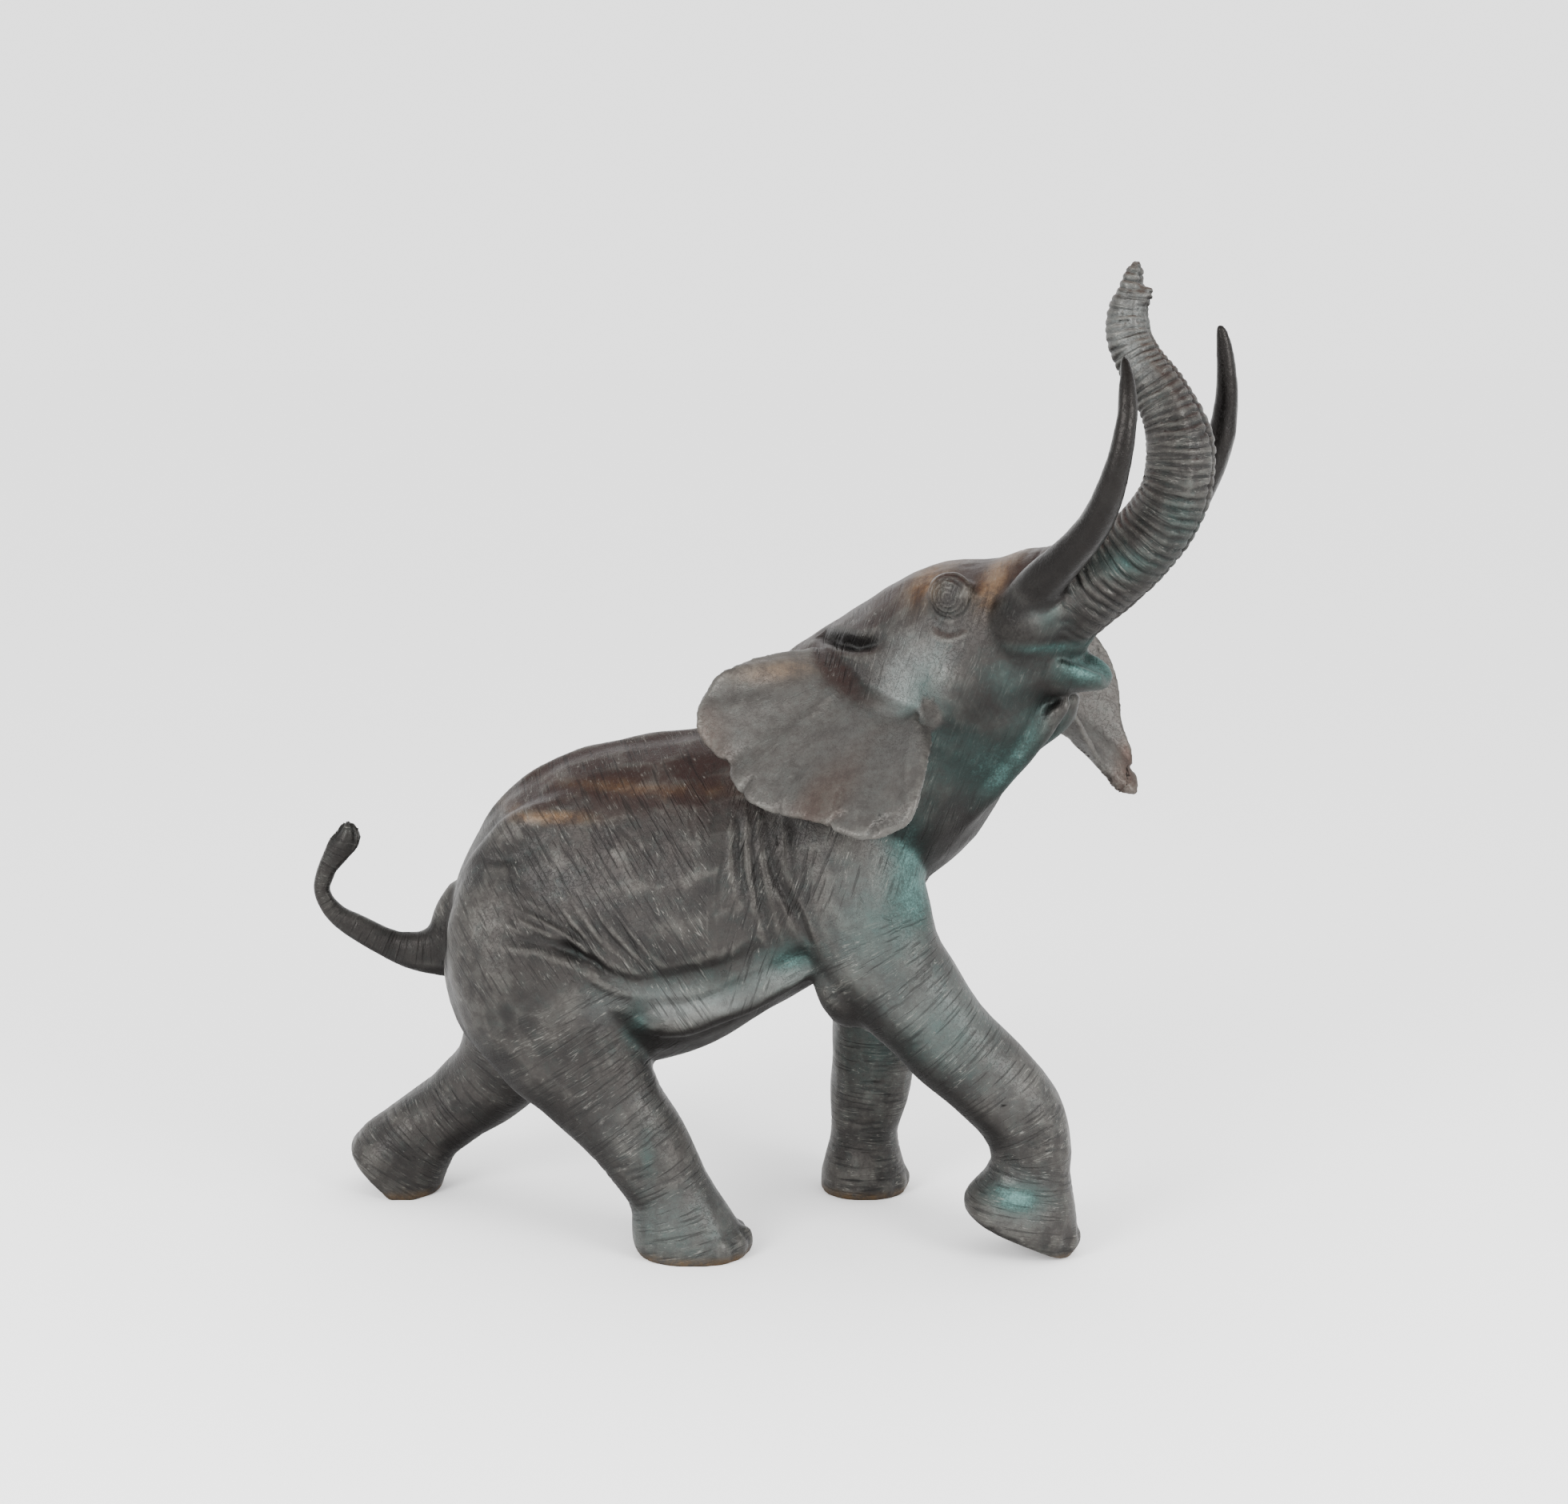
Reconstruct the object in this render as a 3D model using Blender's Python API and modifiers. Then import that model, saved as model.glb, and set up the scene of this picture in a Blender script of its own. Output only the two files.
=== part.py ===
"""A cast bronze elephant, charging, with its head thrown up and its trunk raised between its tusks.

Units are metres, +Z is up and the elephant runs towards +X, so its right side faces -Y. The pose and the
proportions are tables of stations in percent of the height, and one casting is made of them: swept limbs and
rounded masses are merged into one skin, the thin ears, tusks and tail are joined on, and the soles are cut flat.
"""

import math

import bmesh
import bpy
import numpy as np
from mathutils import Matrix, Vector

# Driving sizes
HEIGHT = 1.90  # from the soles to the tip of the raised trunk
EAR_THICKNESS = 0.015  # of the cast sheet of an ear
HEAD_TURN = math.radians(30)  # the neck and head swing to the elephant's right
SKIN_SPACING = 0.0065  # mesh spacing on which the forms are merged
FLESH_SMOOTHING = 14  # rounds that ease the muscles into each other
JOINT_SMOOTHING = 2  # rounds that ease the ears, tusks and tail into the flesh
FACE_COUNT = 9600  # faces of the finished solid

PERCENT = HEIGHT / 100  # every table below is in percent of the height
NECK_PIVOT = 4.9  # where the head's turn starts, along X
RING_SIDES = 28
PATH_STEPS = 6  # sections from one station of a table to the next
SECTION_SQUARENESS = 2.2  # 2 is an ellipse

BRONZE_COLOR = (0.115, 0.105, 0.095, 1.0)
BRONZE_ROUGHNESS = 0.45

# Torso: x, lowest, highest, half width
TORSO = (
    (-34.6, 25.5, 33.5, 3.5),
    (-33.2, 21.3, 38.2, 6.6),
    (-31.0, 19.0, 42.3, 9.0),
    (-28.0, 17.8, 46.0, 10.8),
    (-23.0, 17.6, 49.2, 12.4),
    (-18.0, 17.4, 50.8, 13.4),
    (-13.0, 18.0, 51.7, 14.0),
    (-8.0, 19.6, 52.4, 14.2),
    (-3.3, 22.4, 53.0, 13.8),
    (1.6, 25.4, 53.8, 12.8),
    (6.5, 28.2, 55.0, 11.6),
    (11.5, 32.4, 53.5, 9.2),
    (14.8, 37.0, 48.0, 5.0),
)
TORSO_ROOF = 0.16  # how much narrower the back is than the belly

# Limbs: x, y, z, half width across, half depth fore and aft
RIGHT_HIND_LEG = (
    (-25.0, -5.0, 38.5, 4.6, 7.0),
    (-25.6, -7.0, 32.6, 6.2, 8.6),
    (-24.4, -7.9, 27.0, 6.4, 8.8),
    (-21.9, -8.5, 22.0, 5.9, 7.8),
    (-19.6, -9.1, 18.6, 5.2, 6.4),
    (-17.2, -9.6, 15.2, 4.7, 5.3),
    (-15.0, -9.9, 12.3, 4.5, 4.8),
    (-13.0, -10.0, 9.0, 4.2, 4.5),
    (-11.4, -10.0, 5.9, 4.0, 4.1),
)
LEFT_HIND_LEG = (
    (-25.5, 5.0, 36.0, 4.6, 7.0),
    (-26.4, 6.8, 29.5, 6.0, 7.6),
    (-27.6, 7.4, 21.5, 5.8, 6.4),
    (-30.4, 8.2, 14.2, 4.9, 5.1),
    (-34.8, 9.0, 9.9, 4.3, 4.3),
    (-37.8, 9.4, 7.6, 4.2, 4.2),
    (-39.6, 9.5, 6.0, 4.3, 4.5),
)
RIGHT_FORE_LEG = (
    (3.5, -5.6, 48.0, 4.0, 6.4),
    (5.3, -7.4, 42.5, 5.6, 8.2),
    (7.6, -9.0, 35.4, 5.6, 7.2),
    (9.8, -9.6, 30.6, 5.3, 6.4),
    (12.6, -9.9, 27.2, 4.9, 5.6),
    (16.5, -10.0, 22.4, 4.5, 4.9),
    (21.0, -10.0, 18.1, 4.4, 4.7),
    (24.2, -10.0, 14.3, 4.3, 4.4),
    (25.1, -10.0, 11.2, 4.1, 4.1),
    (25.0, -10.0, 9.0, 4.0, 4.0),
)
LEFT_FORE_LEG = (
    (5.0, 5.4, 46.0, 4.4, 6.6),
    (6.6, 7.2, 40.0, 5.4, 7.8),
    (8.6, 8.0, 32.0, 5.2, 6.8),
    (10.0, 8.6, 24.0, 4.8, 5.4),
    (9.8, 9.0, 16.9, 4.3, 4.6),
    (9.3, 9.3, 11.4, 4.1, 4.3),
    (8.7, 9.5, 7.4, 3.8, 3.7),
    (8.6, 9.5, 5.0, 3.7, 3.5),
)
TAIL = (
    (-31.0, 0.0, 32.5, 2.6, 5.2),
    (-34.2, 0.0, 29.8, 2.0, 4.0),
    (-37.0, 0.0, 28.9, 1.5, 2.4),
    (-40.2, 0.0, 29.5, 1.2, 1.7),
    (-43.6, 0.0, 31.2, 1.1, 1.4),
    (-46.4, 0.0, 33.0, 1.0, 1.1),
    (-47.8, 0.0, 35.4, 0.9, 0.9),
    (-47.2, 0.0, 37.8, 0.9, 1.0),
    (-46.0, 0.0, 39.8, 1.0, 1.4),
    (-45.0, 0.0, 41.3, 0.9, 1.3),
    (-45.2, 0.0, 42.7, 0.5, 0.5),
)

# Ridges under the skin of the elephant's left side, mirrored to its right
HIP_CREST = (
    (-33.2, 3.2, 34.6, 0.9, 0.9),
    (-31.4, 4.8, 38.2, 1.4, 1.4),
    (-28.8, 6.0, 41.2, 1.9, 1.9),
    (-26.2, 6.5, 43.2, 2.3, 2.3),
    (-22.5, 6.3, 44.9, 2.1, 2.1),
    (-18.5, 5.9, 46.3, 1.8, 1.8),
    (-12.0, 5.6, 47.6, 1.4, 1.4),
    (-5.0, 5.0, 48.8, 1.0, 1.0),
)
BELLY_FOLD = (
    (-17.0, 11.4, 27.0, 0.9, 1.0),
    (-13.6, 12.0, 25.4, 1.4, 1.8),
    (-9.5, 12.4, 25.6, 1.5, 2.0),
    (-5.0, 12.3, 27.2, 1.5, 1.9),
    (-1.0, 11.8, 28.9, 1.4, 1.7),
    (3.0, 10.6, 30.8, 1.0, 1.3),
)
SPINE = (
    (-32.6, 0.0, 36.5, 0.9, 1.0),
    (-29.4, 0.0, 43.2, 1.1, 1.2),
    (-24.0, 0.0, 47.9, 1.3, 1.3),
    (-16.0, 0.0, 50.3, 1.3, 1.3),
    (-8.0, 0.0, 51.5, 1.3, 1.3),
    (0.0, 0.0, 52.7, 1.2, 1.2),
)

# Feet: the ankle's and then the sole's x, y, z, half width, half length and tilt in degrees
FEET = {
    "right_hind": ((-11.8, -10.0, 6.6, 4.0, 4.2, -25), (-9.0, -10.0, -0.5, 4.9, 5.6, 0)),
    "left_hind": ((-39.0, 9.5, 6.6, 4.2, 4.4, 42), (-43.4, 9.5, 0.8, 4.9, 5.7, 46)),
    "right_fore": ((25.0, -10.0, 9.4, 4.0, 4.0, 0), (23.8, -10.0, 2.0, 4.9, 6.2, 25)),
    "left_fore": ((8.7, 9.5, 6.6, 3.7, 3.6, 0), (8.7, 9.5, -0.5, 4.7, 4.7, 0)),
}
FOOT_PROFILE = ((0.0, 0.0), (0.22, 0.26), (0.42, 0.62), (0.62, 0.92), (0.82, 1.02), (1.0, 0.96))  # down, flare
NAIL_SPREAD = 29  # degrees between neighbouring toenails
NAIL_RADII = (0.9, 1.25, 1.5)
NAIL_RISE = 1.7  # of a nail's middle above the sole
NAIL_REACH = 0.88  # of a nail's middle from the sole's middle, as a share of the sole

# Muscles and bones of the body's left side, mirrored to its right: middle, radii and degrees its front tips up
BODY_MASSES = {
    "buttock": ((-29.0, 5.6, 27.5), (5.6, 5.2, 8.6), 8),
    "shoulder_blade": ((3.0, 8.6, 43.0), (5.0, 3.2, 9.0), 18),
    "shoulder_point": ((9.6, 7.6, 38.0), (4.4, 3.8, 5.6), 20),
}
ELBOWS = {
    "right_elbow": ((6.2, -10.0, 28.6), (3.3, 3.4, 5.0), 10),
    "left_elbow": ((6.2, 8.6, 27.0), (3.0, 3.4, 4.4), 0),
}

# Head: distance forward from the pivot, distance to the elephant's left, z, half width, half depth
NECK_AND_SKULL = (
    (-12.0, 0.0, 38.5, 4.0, 8.0),
    (-8.0, 0.0, 40.2, 7.6, 10.8),
    (-3.0, 0.0, 43.5, 9.6, 12.4),
    (4.9, 0.0, 50.6, 10.4, 13.5),
    (11.2, 0.0, 56.9, 9.6, 11.6),
    (17.0, 0.0, 62.0, 9.0, 10.1),
    (21.6, 0.0, 65.4, 7.4, 7.0),
    (25.2, 0.0, 68.2, 5.9, 5.4),
)
TRUNK = (
    (22.5, 0.0, 66.5, 6.2, 5.8),
    (28.6, 0.0, 69.6, 4.8, 4.4),
    (32.4, 0.0, 72.3, 4.2, 3.9),
    (35.2, 0.0, 75.2, 3.8, 3.6),
    (36.9, 0.0, 78.3, 3.5, 3.4),
    (37.4, 0.0, 81.6, 3.3, 3.3),
    (36.8, 0.0, 84.9, 3.0, 3.0),
    (35.2, 0.0, 87.9, 2.7, 2.6),
    (33.3, 0.0, 90.4, 2.5, 2.4),
    (32.1, 0.0, 92.6, 2.2, 2.2),
    (31.7, 0.0, 94.9, 2.0, 2.0),
    (31.9, 0.0, 96.9, 1.8, 1.7),
)
UPPER_FINGER = (
    (31.8, 0.0, 96.2, 1.7, 1.4),
    (32.1, 0.0, 98.4, 1.2, 0.9),
    (32.6, 0.0, 100.0, 0.45, 0.35),
)
LOWER_FINGER = (
    (32.4, 0.0, 95.2, 1.5, 1.0),
    (33.3, 0.0, 96.6, 1.1, 0.7),
    (34.2, 0.0, 97.5, 0.6, 0.4),
)
LOWER_JAW = (
    (17.5, 0.0, 61.0, 6.2, 7.4),
    (21.5, 0.0, 61.9, 5.4, 5.9),
    (24.8, 0.0, 62.2, 4.4, 4.6),
    (27.4, 0.0, 61.9, 3.6, 3.4),
    (29.4, 0.0, 61.2, 2.7, 2.4),
    (30.5, 0.0, 60.6, 1.6, 1.5),
)
LIP_WALL = 0.9
LIP_HOLLOW = 0.12  # depth of the lower lip's dish, as a share of the jaw's
THROAT_FOLDS = {
    "left_throat_fold": (
        (26.0, 3.0, 57.8, 0.7, 0.6),
        (25.0, 3.2, 57.0, 1.4, 1.2),
        (23.6, 3.5, 55.9, 2.3, 2.1),
        (20.2, 3.6, 53.4, 2.5, 2.3),
        (15.8, 4.0, 49.4, 2.2, 2.2),
        (11.8, 4.4, 44.6, 1.6, 1.8),
    ),
    "right_throat_fold": (
        (27.2, -1.4, 58.0, 0.6, 0.6),
        (25.6, -1.5, 56.3, 1.1, 0.9),
        (23.4, -1.5, 53.6, 1.4, 1.2),
        (20.6, -1.6, 50.4, 1.5, 1.3),
        (17.0, -2.0, 46.6, 1.5, 1.4),
        (13.0, -2.6, 42.6, 1.2, 1.3),
    ),
}
HEAD_MASSES = {
    "cheek": ((16.6, 5.6, 59.0), (5.0, 4.0, 6.4), -25),
    "eye": ((16.9, 7.1, 68.2), (2.6, 1.5, 2.6), 0),
    "tusk_sheath": ((24.2, 5.0, 66.2), (5.4, 3.3, 3.4), 44),
}
RIGHT_TUSK = (
    (22.6, -5.6, 66.0, 2.2, 2.2),
    (26.3, -6.8, 69.9, 2.1, 2.1),
    (29.1, -7.6, 72.4, 1.8, 1.8),
    (31.6, -8.4, 74.8, 1.65, 1.65),
    (33.5, -9.2, 77.3, 1.5, 1.5),
    (35.0, -10.0, 80.4, 1.3, 1.3),
    (35.9, -10.3, 83.4, 1.1, 1.1),
    (36.2, -10.0, 86.6, 0.95, 0.95),
    (35.9, -9.5, 89.1, 0.8, 0.8),
    (35.3, -8.9, 91.6, 0.35, 0.35),
)
LEFT_TUSK = (
    (23.6, 5.2, 65.4, 2.2, 2.2),
    (28.6, 6.8, 69.2, 2.0, 2.0),
    (31.2, 7.9, 71.6, 1.85, 1.85),
    (33.2, 8.9, 74.0, 1.7, 1.7),
    (34.9, 9.7, 76.8, 1.6, 1.6),
    (36.2, 10.3, 79.8, 1.5, 1.5),
    (37.2, 10.5, 82.8, 1.4, 1.4),
    (37.7, 10.5, 85.8, 1.2, 1.2),
    (37.9, 10.0, 88.9, 1.0, 1.0),
    (37.7, 9.5, 92.0, 0.75, 0.75),
    (37.4, 8.9, 93.9, 0.35, 0.35),
)

# Ears: distance forward, distance to the elephant's left, z
EAR_RINGS = 12  # from the root to the rim
EAR_RIM_STEPS = 5  # from one rim point to the next
EAR_BULGE = 0.10  # outwards between root and rim, as a share of the distance to the left or right
EAR_FOLDS = 5.4  # shallow rays along the rim
EAR_FOLD_DEPTH = 0.45
RIGHT_EAR_ROOT = ((1.9, -7.0, 61.9), (7.3, -8.6, 59.9), (10.9, -8.8, 58.3), (14.3, -8.4, 56.9))
RIGHT_EAR_RIM = (
    (0.8, -9.5, 61.8),
    (-0.8, -12.7, 61.5),
    (-2.1, -15.6, 60.9),
    (-3.3, -18.0, 59.9),
    (-4.2, -19.1, 58.0),
    (-4.0, -20.0, 55.8),
    (-2.3, -20.2, 53.2),
    (-0.1, -20.8, 51.2),
    (2.6, -21.6, 49.4),
    (6.2, -22.1, 48.1),
    (10.8, -22.9, 47.9),
    (14.8, -23.3, 47.4),
    (18.1, -22.8, 47.5),
    (20.3, -21.7, 48.8),
    (20.5, -19.2, 51.4),
    (19.4, -15.6, 54.2),
    (17.4, -12.3, 55.9),
)
LEFT_EAR_ROOT = ((5.0, 7.0, 63.0), (9.0, 8.2, 61.0), (12.5, 8.4, 58.6), (16.0, 7.8, 56.4))
LEFT_EAR_RIM = (
    (4.6, 10.5, 64.4),
    (5.2, 14.0, 65.6),
    (7.4, 18.0, 66.2),
    (11.0, 21.0, 65.8),
    (15.0, 22.6, 64.0),
    (18.4, 23.6, 61.2),
    (20.3, 24.0, 57.5),
    (21.6, 24.0, 53.4),
    (22.6, 24.0, 50.0),
    (23.5, 23.6, 47.1),
    (24.4, 23.0, 44.4),
    (23.0, 22.0, 44.3),
    (21.6, 20.0, 46.8),
    (21.2, 17.5, 50.5),
    (20.4, 14.5, 53.8),
    (18.0, 11.6, 55.2),
)

Y_AXIS = Vector((0.0, 1.0, 0.0))
HEAD_FORWARD = Vector((math.cos(HEAD_TURN), -math.sin(HEAD_TURN), 0.0))
HEAD_LEFT = Vector((math.sin(HEAD_TURN), math.cos(HEAD_TURN), 0.0))


def in_body(x, y, z):
    """A place on the body, from percent to metres."""
    return Vector((x, y, z)) * PERCENT


def in_head(forward, left, z):
    """A place on the turned head, from percent to metres."""
    return (Vector((NECK_PIVOT, 0.0, z)) + HEAD_FORWARD * forward + HEAD_LEFT * left) * PERCENT


def smooth_path(rows, steps=PATH_STEPS):
    """Rows of numbers with a Catmull-Rom curve's rows between them."""
    rows = np.array(rows, float)
    ends = np.vstack([2 * rows[0] - rows[1], rows, 2 * rows[-1] - rows[-2]])
    found = []
    for i in range(len(rows) - 1):
        a, b, c, d = ends[i : i + 4]
        for t in np.arange(steps) / steps:
            found.append(
                0.5 * (2 * b + (c - a) * t + (2 * a - 5 * b + 4 * c - d) * t**2 + (3 * b - a - 3 * c + d) * t**3)
            )
    return [row.tolist() for row in [*found, rows[-1]]]


def new_object(name, mesh_data):
    """An object of this mesh, in the scene."""
    shape = bpy.data.objects.new(name, mesh_data)
    bpy.context.scene.collection.objects.link(shape)
    return shape


def oval(middle, side, up, roof=0.0):
    """One section of a limb, a rounded oval that can be narrower at its top."""
    power = 2 / SECTION_SQUARENESS
    points = []
    for k in range(RING_SIDES):
        angle = 2 * math.pi * k / RING_SIDES
        across = math.copysign(abs(math.sin(angle)) ** power, math.sin(angle))
        above = math.copysign(abs(math.cos(angle)) ** power, math.cos(angle))
        points.append(middle + side * (across * (1 - roof * above)) + up * above)
    return points


def trough(middle, side, down, wall):
    """One section of the lower lip, a shallow dish with a rim of this wall."""
    outer = []
    inner = []
    dish = side * max(0.15, 1 - wall / side.length)
    for angle in np.linspace(-math.pi / 2, math.pi / 2, RING_SIDES // 2).tolist():
        outer.append(middle + side * math.sin(angle) + down * math.cos(angle))
        inner.append(middle + dish * math.sin(angle) + down * (LIP_HOLLOW * math.cos(angle)))
    return outer + inner[::-1]


def loft(name, outlines):
    """A closed shape through outlines that each have as many points."""
    bm = bmesh.new()
    rings = [[bm.verts.new(point) for point in outline] for outline in outlines]
    for first, second in zip(rings, rings[1:]):
        for k in range(len(first)):
            after = (k + 1) % len(first)
            bm.faces.new((first[k], second[k], second[after], first[after]))
    bm.faces.new(rings[0])
    bm.faces.new(reversed(rings[-1]))
    bmesh.ops.recalc_face_normals(bm, faces=bm.faces[:])
    mesh_data = bpy.data.meshes.new(name)
    bm.to_mesh(mesh_data)
    bm.free()
    return new_object(name, mesh_data)


def limb(name, stations, place=in_body, across=Y_AXIS):
    """A limb whose sections stand square to its path. A station is a place, a half width and a half depth."""
    path = smooth_path(stations)
    middles = [place(*row[:3]) for row in path]
    sections = []
    for i, row in enumerate(path):
        along = (middles[min(i + 1, len(path) - 1)] - middles[max(i - 1, 0)]).normalized()
        side = (across - across.dot(along) * along).normalized()
        up = along.cross(side)
        sections.append(oval(middles[i], side * row[3] * PERCENT, up * row[4] * PERCENT))
    return loft(name, sections)


def torso():
    """The barrel of the body, in upright sections that are narrower at the back."""
    sections = []
    for x, low, high, half_width in smooth_path(TORSO):
        middle = in_body(x, 0.0, (low + high) / 2)
        up = Vector((0.0, 0.0, (high - low) / 2 * PERCENT))
        sections.append(oval(middle, Y_AXIS * half_width * PERCENT, up, TORSO_ROOF))
    return loft("torso", sections)


def lower_jaw():
    """The lower jaw, a pointed scoop that is open at the top."""
    sections = []
    for forward, left, z, half_width, depth in smooth_path(LOWER_JAW):
        down = Vector((0.0, 0.0, -depth * PERCENT))
        sections.append(trough(in_head(forward, left, z), HEAD_LEFT * half_width * PERCENT, down, LIP_WALL * PERCENT))
    return loft("lower_jaw", sections)


def mass(name, middle, radii, turn=0.0, place=in_body, across=Y_AXIS):
    """A rounded muscle, bone or pad. Its radii are along, across and up, and turn tips its front upwards."""
    bm = bmesh.new()
    bmesh.ops.create_uvsphere(bm, u_segments=24, v_segments=16, radius=1.0)
    forward = across.cross(Vector((0.0, 0.0, 1.0)))
    frame = Matrix((forward, across, Vector((0.0, 0.0, 1.0)))).transposed().to_4x4()
    tip = Matrix.Rotation(-math.radians(turn), 4, "Y")
    sizes = Matrix.Diagonal((*(r * PERCENT for r in radii), 1.0))
    bm.transform(Matrix.Translation(place(*middle)) @ frame @ tip @ sizes)
    mesh_data = bpy.data.meshes.new(name)
    bm.to_mesh(mesh_data)
    bm.free()
    return new_object(name, mesh_data)


def foot(name, ankle, sole):
    """A bell-shaped foot from its ankle to its sole."""
    ankle, sole = np.array(ankle, float), np.array(sole, float)
    sections = []
    for down, flare in FOOT_PROFILE:
        x, y, z = (ankle[:3] + (sole[:3] - ankle[:3]) * down).tolist()
        half_width, half_length = (ankle[3:5] + (sole[3:5] - ankle[3:5]) * flare).tolist()
        tip = Matrix.Rotation(math.radians(ankle[5] + (sole[5] - ankle[5]) * down), 4, "Y")
        forward = tip @ Vector((half_length * PERCENT, 0.0, 0.0))
        sections.append(oval(in_body(x, y, z), Y_AXIS * half_width * PERCENT, forward))
    return loft(name, sections)


def toenails(name, x, y, z, half_width, half_length, tilt):
    """Five nails round the front of a foot, laid out on its sole."""
    to_sole = Matrix.Translation(in_body(x, y, z)) @ Matrix.Rotation(math.radians(tilt), 4, "Y")
    nails = []
    for k in range(-2, 3):
        angle = math.radians(NAIL_SPREAD * k)
        ahead = math.cos(angle) * half_length * NAIL_REACH
        aside = math.sin(angle) * half_width * NAIL_REACH
        at = in_body(ahead, aside, NAIL_RISE)
        nail = mass(f"{name}_{k + 3}", (0, 0, 0), NAIL_RADII)
        nail.data.transform(to_sole @ Matrix.Translation(at) @ Matrix.Rotation(angle, 4, "Z"))
        nails.append(nail)
    return nails


def ear(name, root, rim):
    """A fan-shaped sheet from its root on the neck to its free rim, folded in shallow rays."""
    rim_rows = smooth_path(rim, EAR_RIM_STEPS)
    shares = np.linspace(0.0, 1.0, len(rim_rows))
    root_rows = np.array([np.interp(shares, np.linspace(0, 1, len(root)), axis) for axis in np.array(root).T]).T
    bm = bmesh.new()
    grid = []
    for share, start, end in zip(shares, root_rows, rim_rows):
        column = []
        for t in np.linspace(0.0, 1.0, EAR_RINGS):
            forward, left, z = (np.array(start) * (1 - t) + np.array(end) * t).tolist()
            bulge = 1 + EAR_BULGE * math.sin(math.pi * t)
            fold = EAR_FOLD_DEPTH * t**2 * math.sin(2 * math.pi * EAR_FOLDS * share)
            column.append(bm.verts.new(in_head(forward, left * bulge + fold, z)))
        grid.append(column)
    for first, second in zip(grid, grid[1:]):
        for k in range(len(first) - 1):
            bm.faces.new((first[k], first[k + 1], second[k + 1], second[k]))
    mesh_data = bpy.data.meshes.new(name)
    bm.to_mesh(mesh_data)
    bm.free()
    sheet = new_object(name, mesh_data)
    wall = sheet.modifiers.new("wall", "SOLIDIFY")
    wall.thickness = EAR_THICKNESS
    wall.offset = 0.0
    wall.use_even_offset = False
    return sheet


def evaluated_mesh(shape):
    """The object's mesh with its modifiers applied, in world space."""
    graph = bpy.context.evaluated_depsgraph_get()
    mesh_data = bpy.data.meshes.new_from_object(shape.evaluated_get(graph))
    mesh_data.transform(shape.matrix_world)
    return mesh_data


def merged(name, shapes, smoothing):
    """Overlapping shapes made one skin, with its creases eased by rounds of smoothing."""
    bm = bmesh.new()
    for shape in shapes:
        bm.from_mesh(evaluated_mesh(shape))
        bpy.data.objects.remove(shape)
    mesh_data = bpy.data.meshes.new(name)
    bm.to_mesh(mesh_data)
    bm.free()
    skin = new_object(name, mesh_data)
    remesh = skin.modifiers.new("one_skin", "REMESH")
    remesh.mode = "VOXEL"
    remesh.voxel_size = SKIN_SPACING
    ease = skin.modifiers.new("ease", "SMOOTH")
    ease.iterations = smoothing
    ease.factor = 0.5
    result = new_object(name, evaluated_mesh(skin))
    bpy.data.objects.remove(skin)
    return result


def mirrored(rows):
    """The same rows on the other side of the elephant."""
    return [(x, -y, *others) for x, y, *others in rows]


def body_masses():
    """Bones, muscles and skin folds that show on the body."""
    shapes = [limb("spine", SPINE)]
    for name, path in (("hip_crest", HIP_CREST), ("belly_fold", BELLY_FOLD)):
        shapes += [limb(name, path), limb(name, mirrored(path))]
    for name, ((x, y, z), radii, tip) in BODY_MASSES.items():
        for side in (-1, 1):
            shapes.append(mass(name, (x, y * side, z), radii, tip))
    for name, (middle, radii, tip) in ELBOWS.items():
        shapes.append(mass(name, middle, radii, tip))
    return shapes


def head_masses():
    """Cheeks, eyes, tusk sheaths and throat folds on the turned head."""
    shapes = []
    for name, ((forward, left, z), radii, tip) in HEAD_MASSES.items():
        for side in (-1, 1):
            shapes.append(mass(name, (forward, left * side, z), radii, tip, in_head, HEAD_LEFT))
    for name, path in THROAT_FOLDS.items():
        shapes.append(limb(name, path, in_head, HEAD_LEFT))
    return shapes


def flesh():
    """The torso, legs, neck, head and trunk as one smooth skin."""
    shapes = [
        torso(),
        limb("right_hind_leg", RIGHT_HIND_LEG),
        limb("left_hind_leg", LEFT_HIND_LEG),
        limb("right_fore_leg", RIGHT_FORE_LEG),
        limb("left_fore_leg", LEFT_FORE_LEG),
        limb("neck_and_skull", NECK_AND_SKULL, in_head, HEAD_LEFT),
        limb("trunk", TRUNK, in_head, HEAD_LEFT),
        *body_masses(),
        *head_masses(),
    ]
    shapes += [foot(f"{name}_foot", ankle, sole) for name, (ankle, sole) in FEET.items()]
    return merged("flesh", shapes, FLESH_SMOOTHING)


def elephant():
    """The whole casting, standing on the ground with its middle over the origin."""
    shapes = [
        flesh(),
        lower_jaw(),
        limb("right_tusk", RIGHT_TUSK, in_head, HEAD_LEFT),
        limb("left_tusk", LEFT_TUSK, in_head, HEAD_LEFT),
        limb("upper_finger", UPPER_FINGER, in_head, HEAD_LEFT),
        limb("lower_finger", LOWER_FINGER, in_head, HEAD_LEFT),
        limb("tail", TAIL),
        ear("right_ear", RIGHT_EAR_ROOT, RIGHT_EAR_RIM),
        ear("left_ear", LEFT_EAR_ROOT, LEFT_EAR_RIM),
    ]
    for name, (_, sole) in FEET.items():
        shapes += toenails(f"{name}_nail", *sole)
    whole = merged("whole", shapes, JOINT_SMOOTHING)
    fewer = whole.modifiers.new("fewer_faces", "DECIMATE")
    fewer.ratio = FACE_COUNT / (2 * len(evaluated_mesh(whole).polygons))
    mesh_data = evaluated_mesh(whole)
    bpy.data.objects.remove(whole)
    return stood_on_ground(mesh_data)


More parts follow.
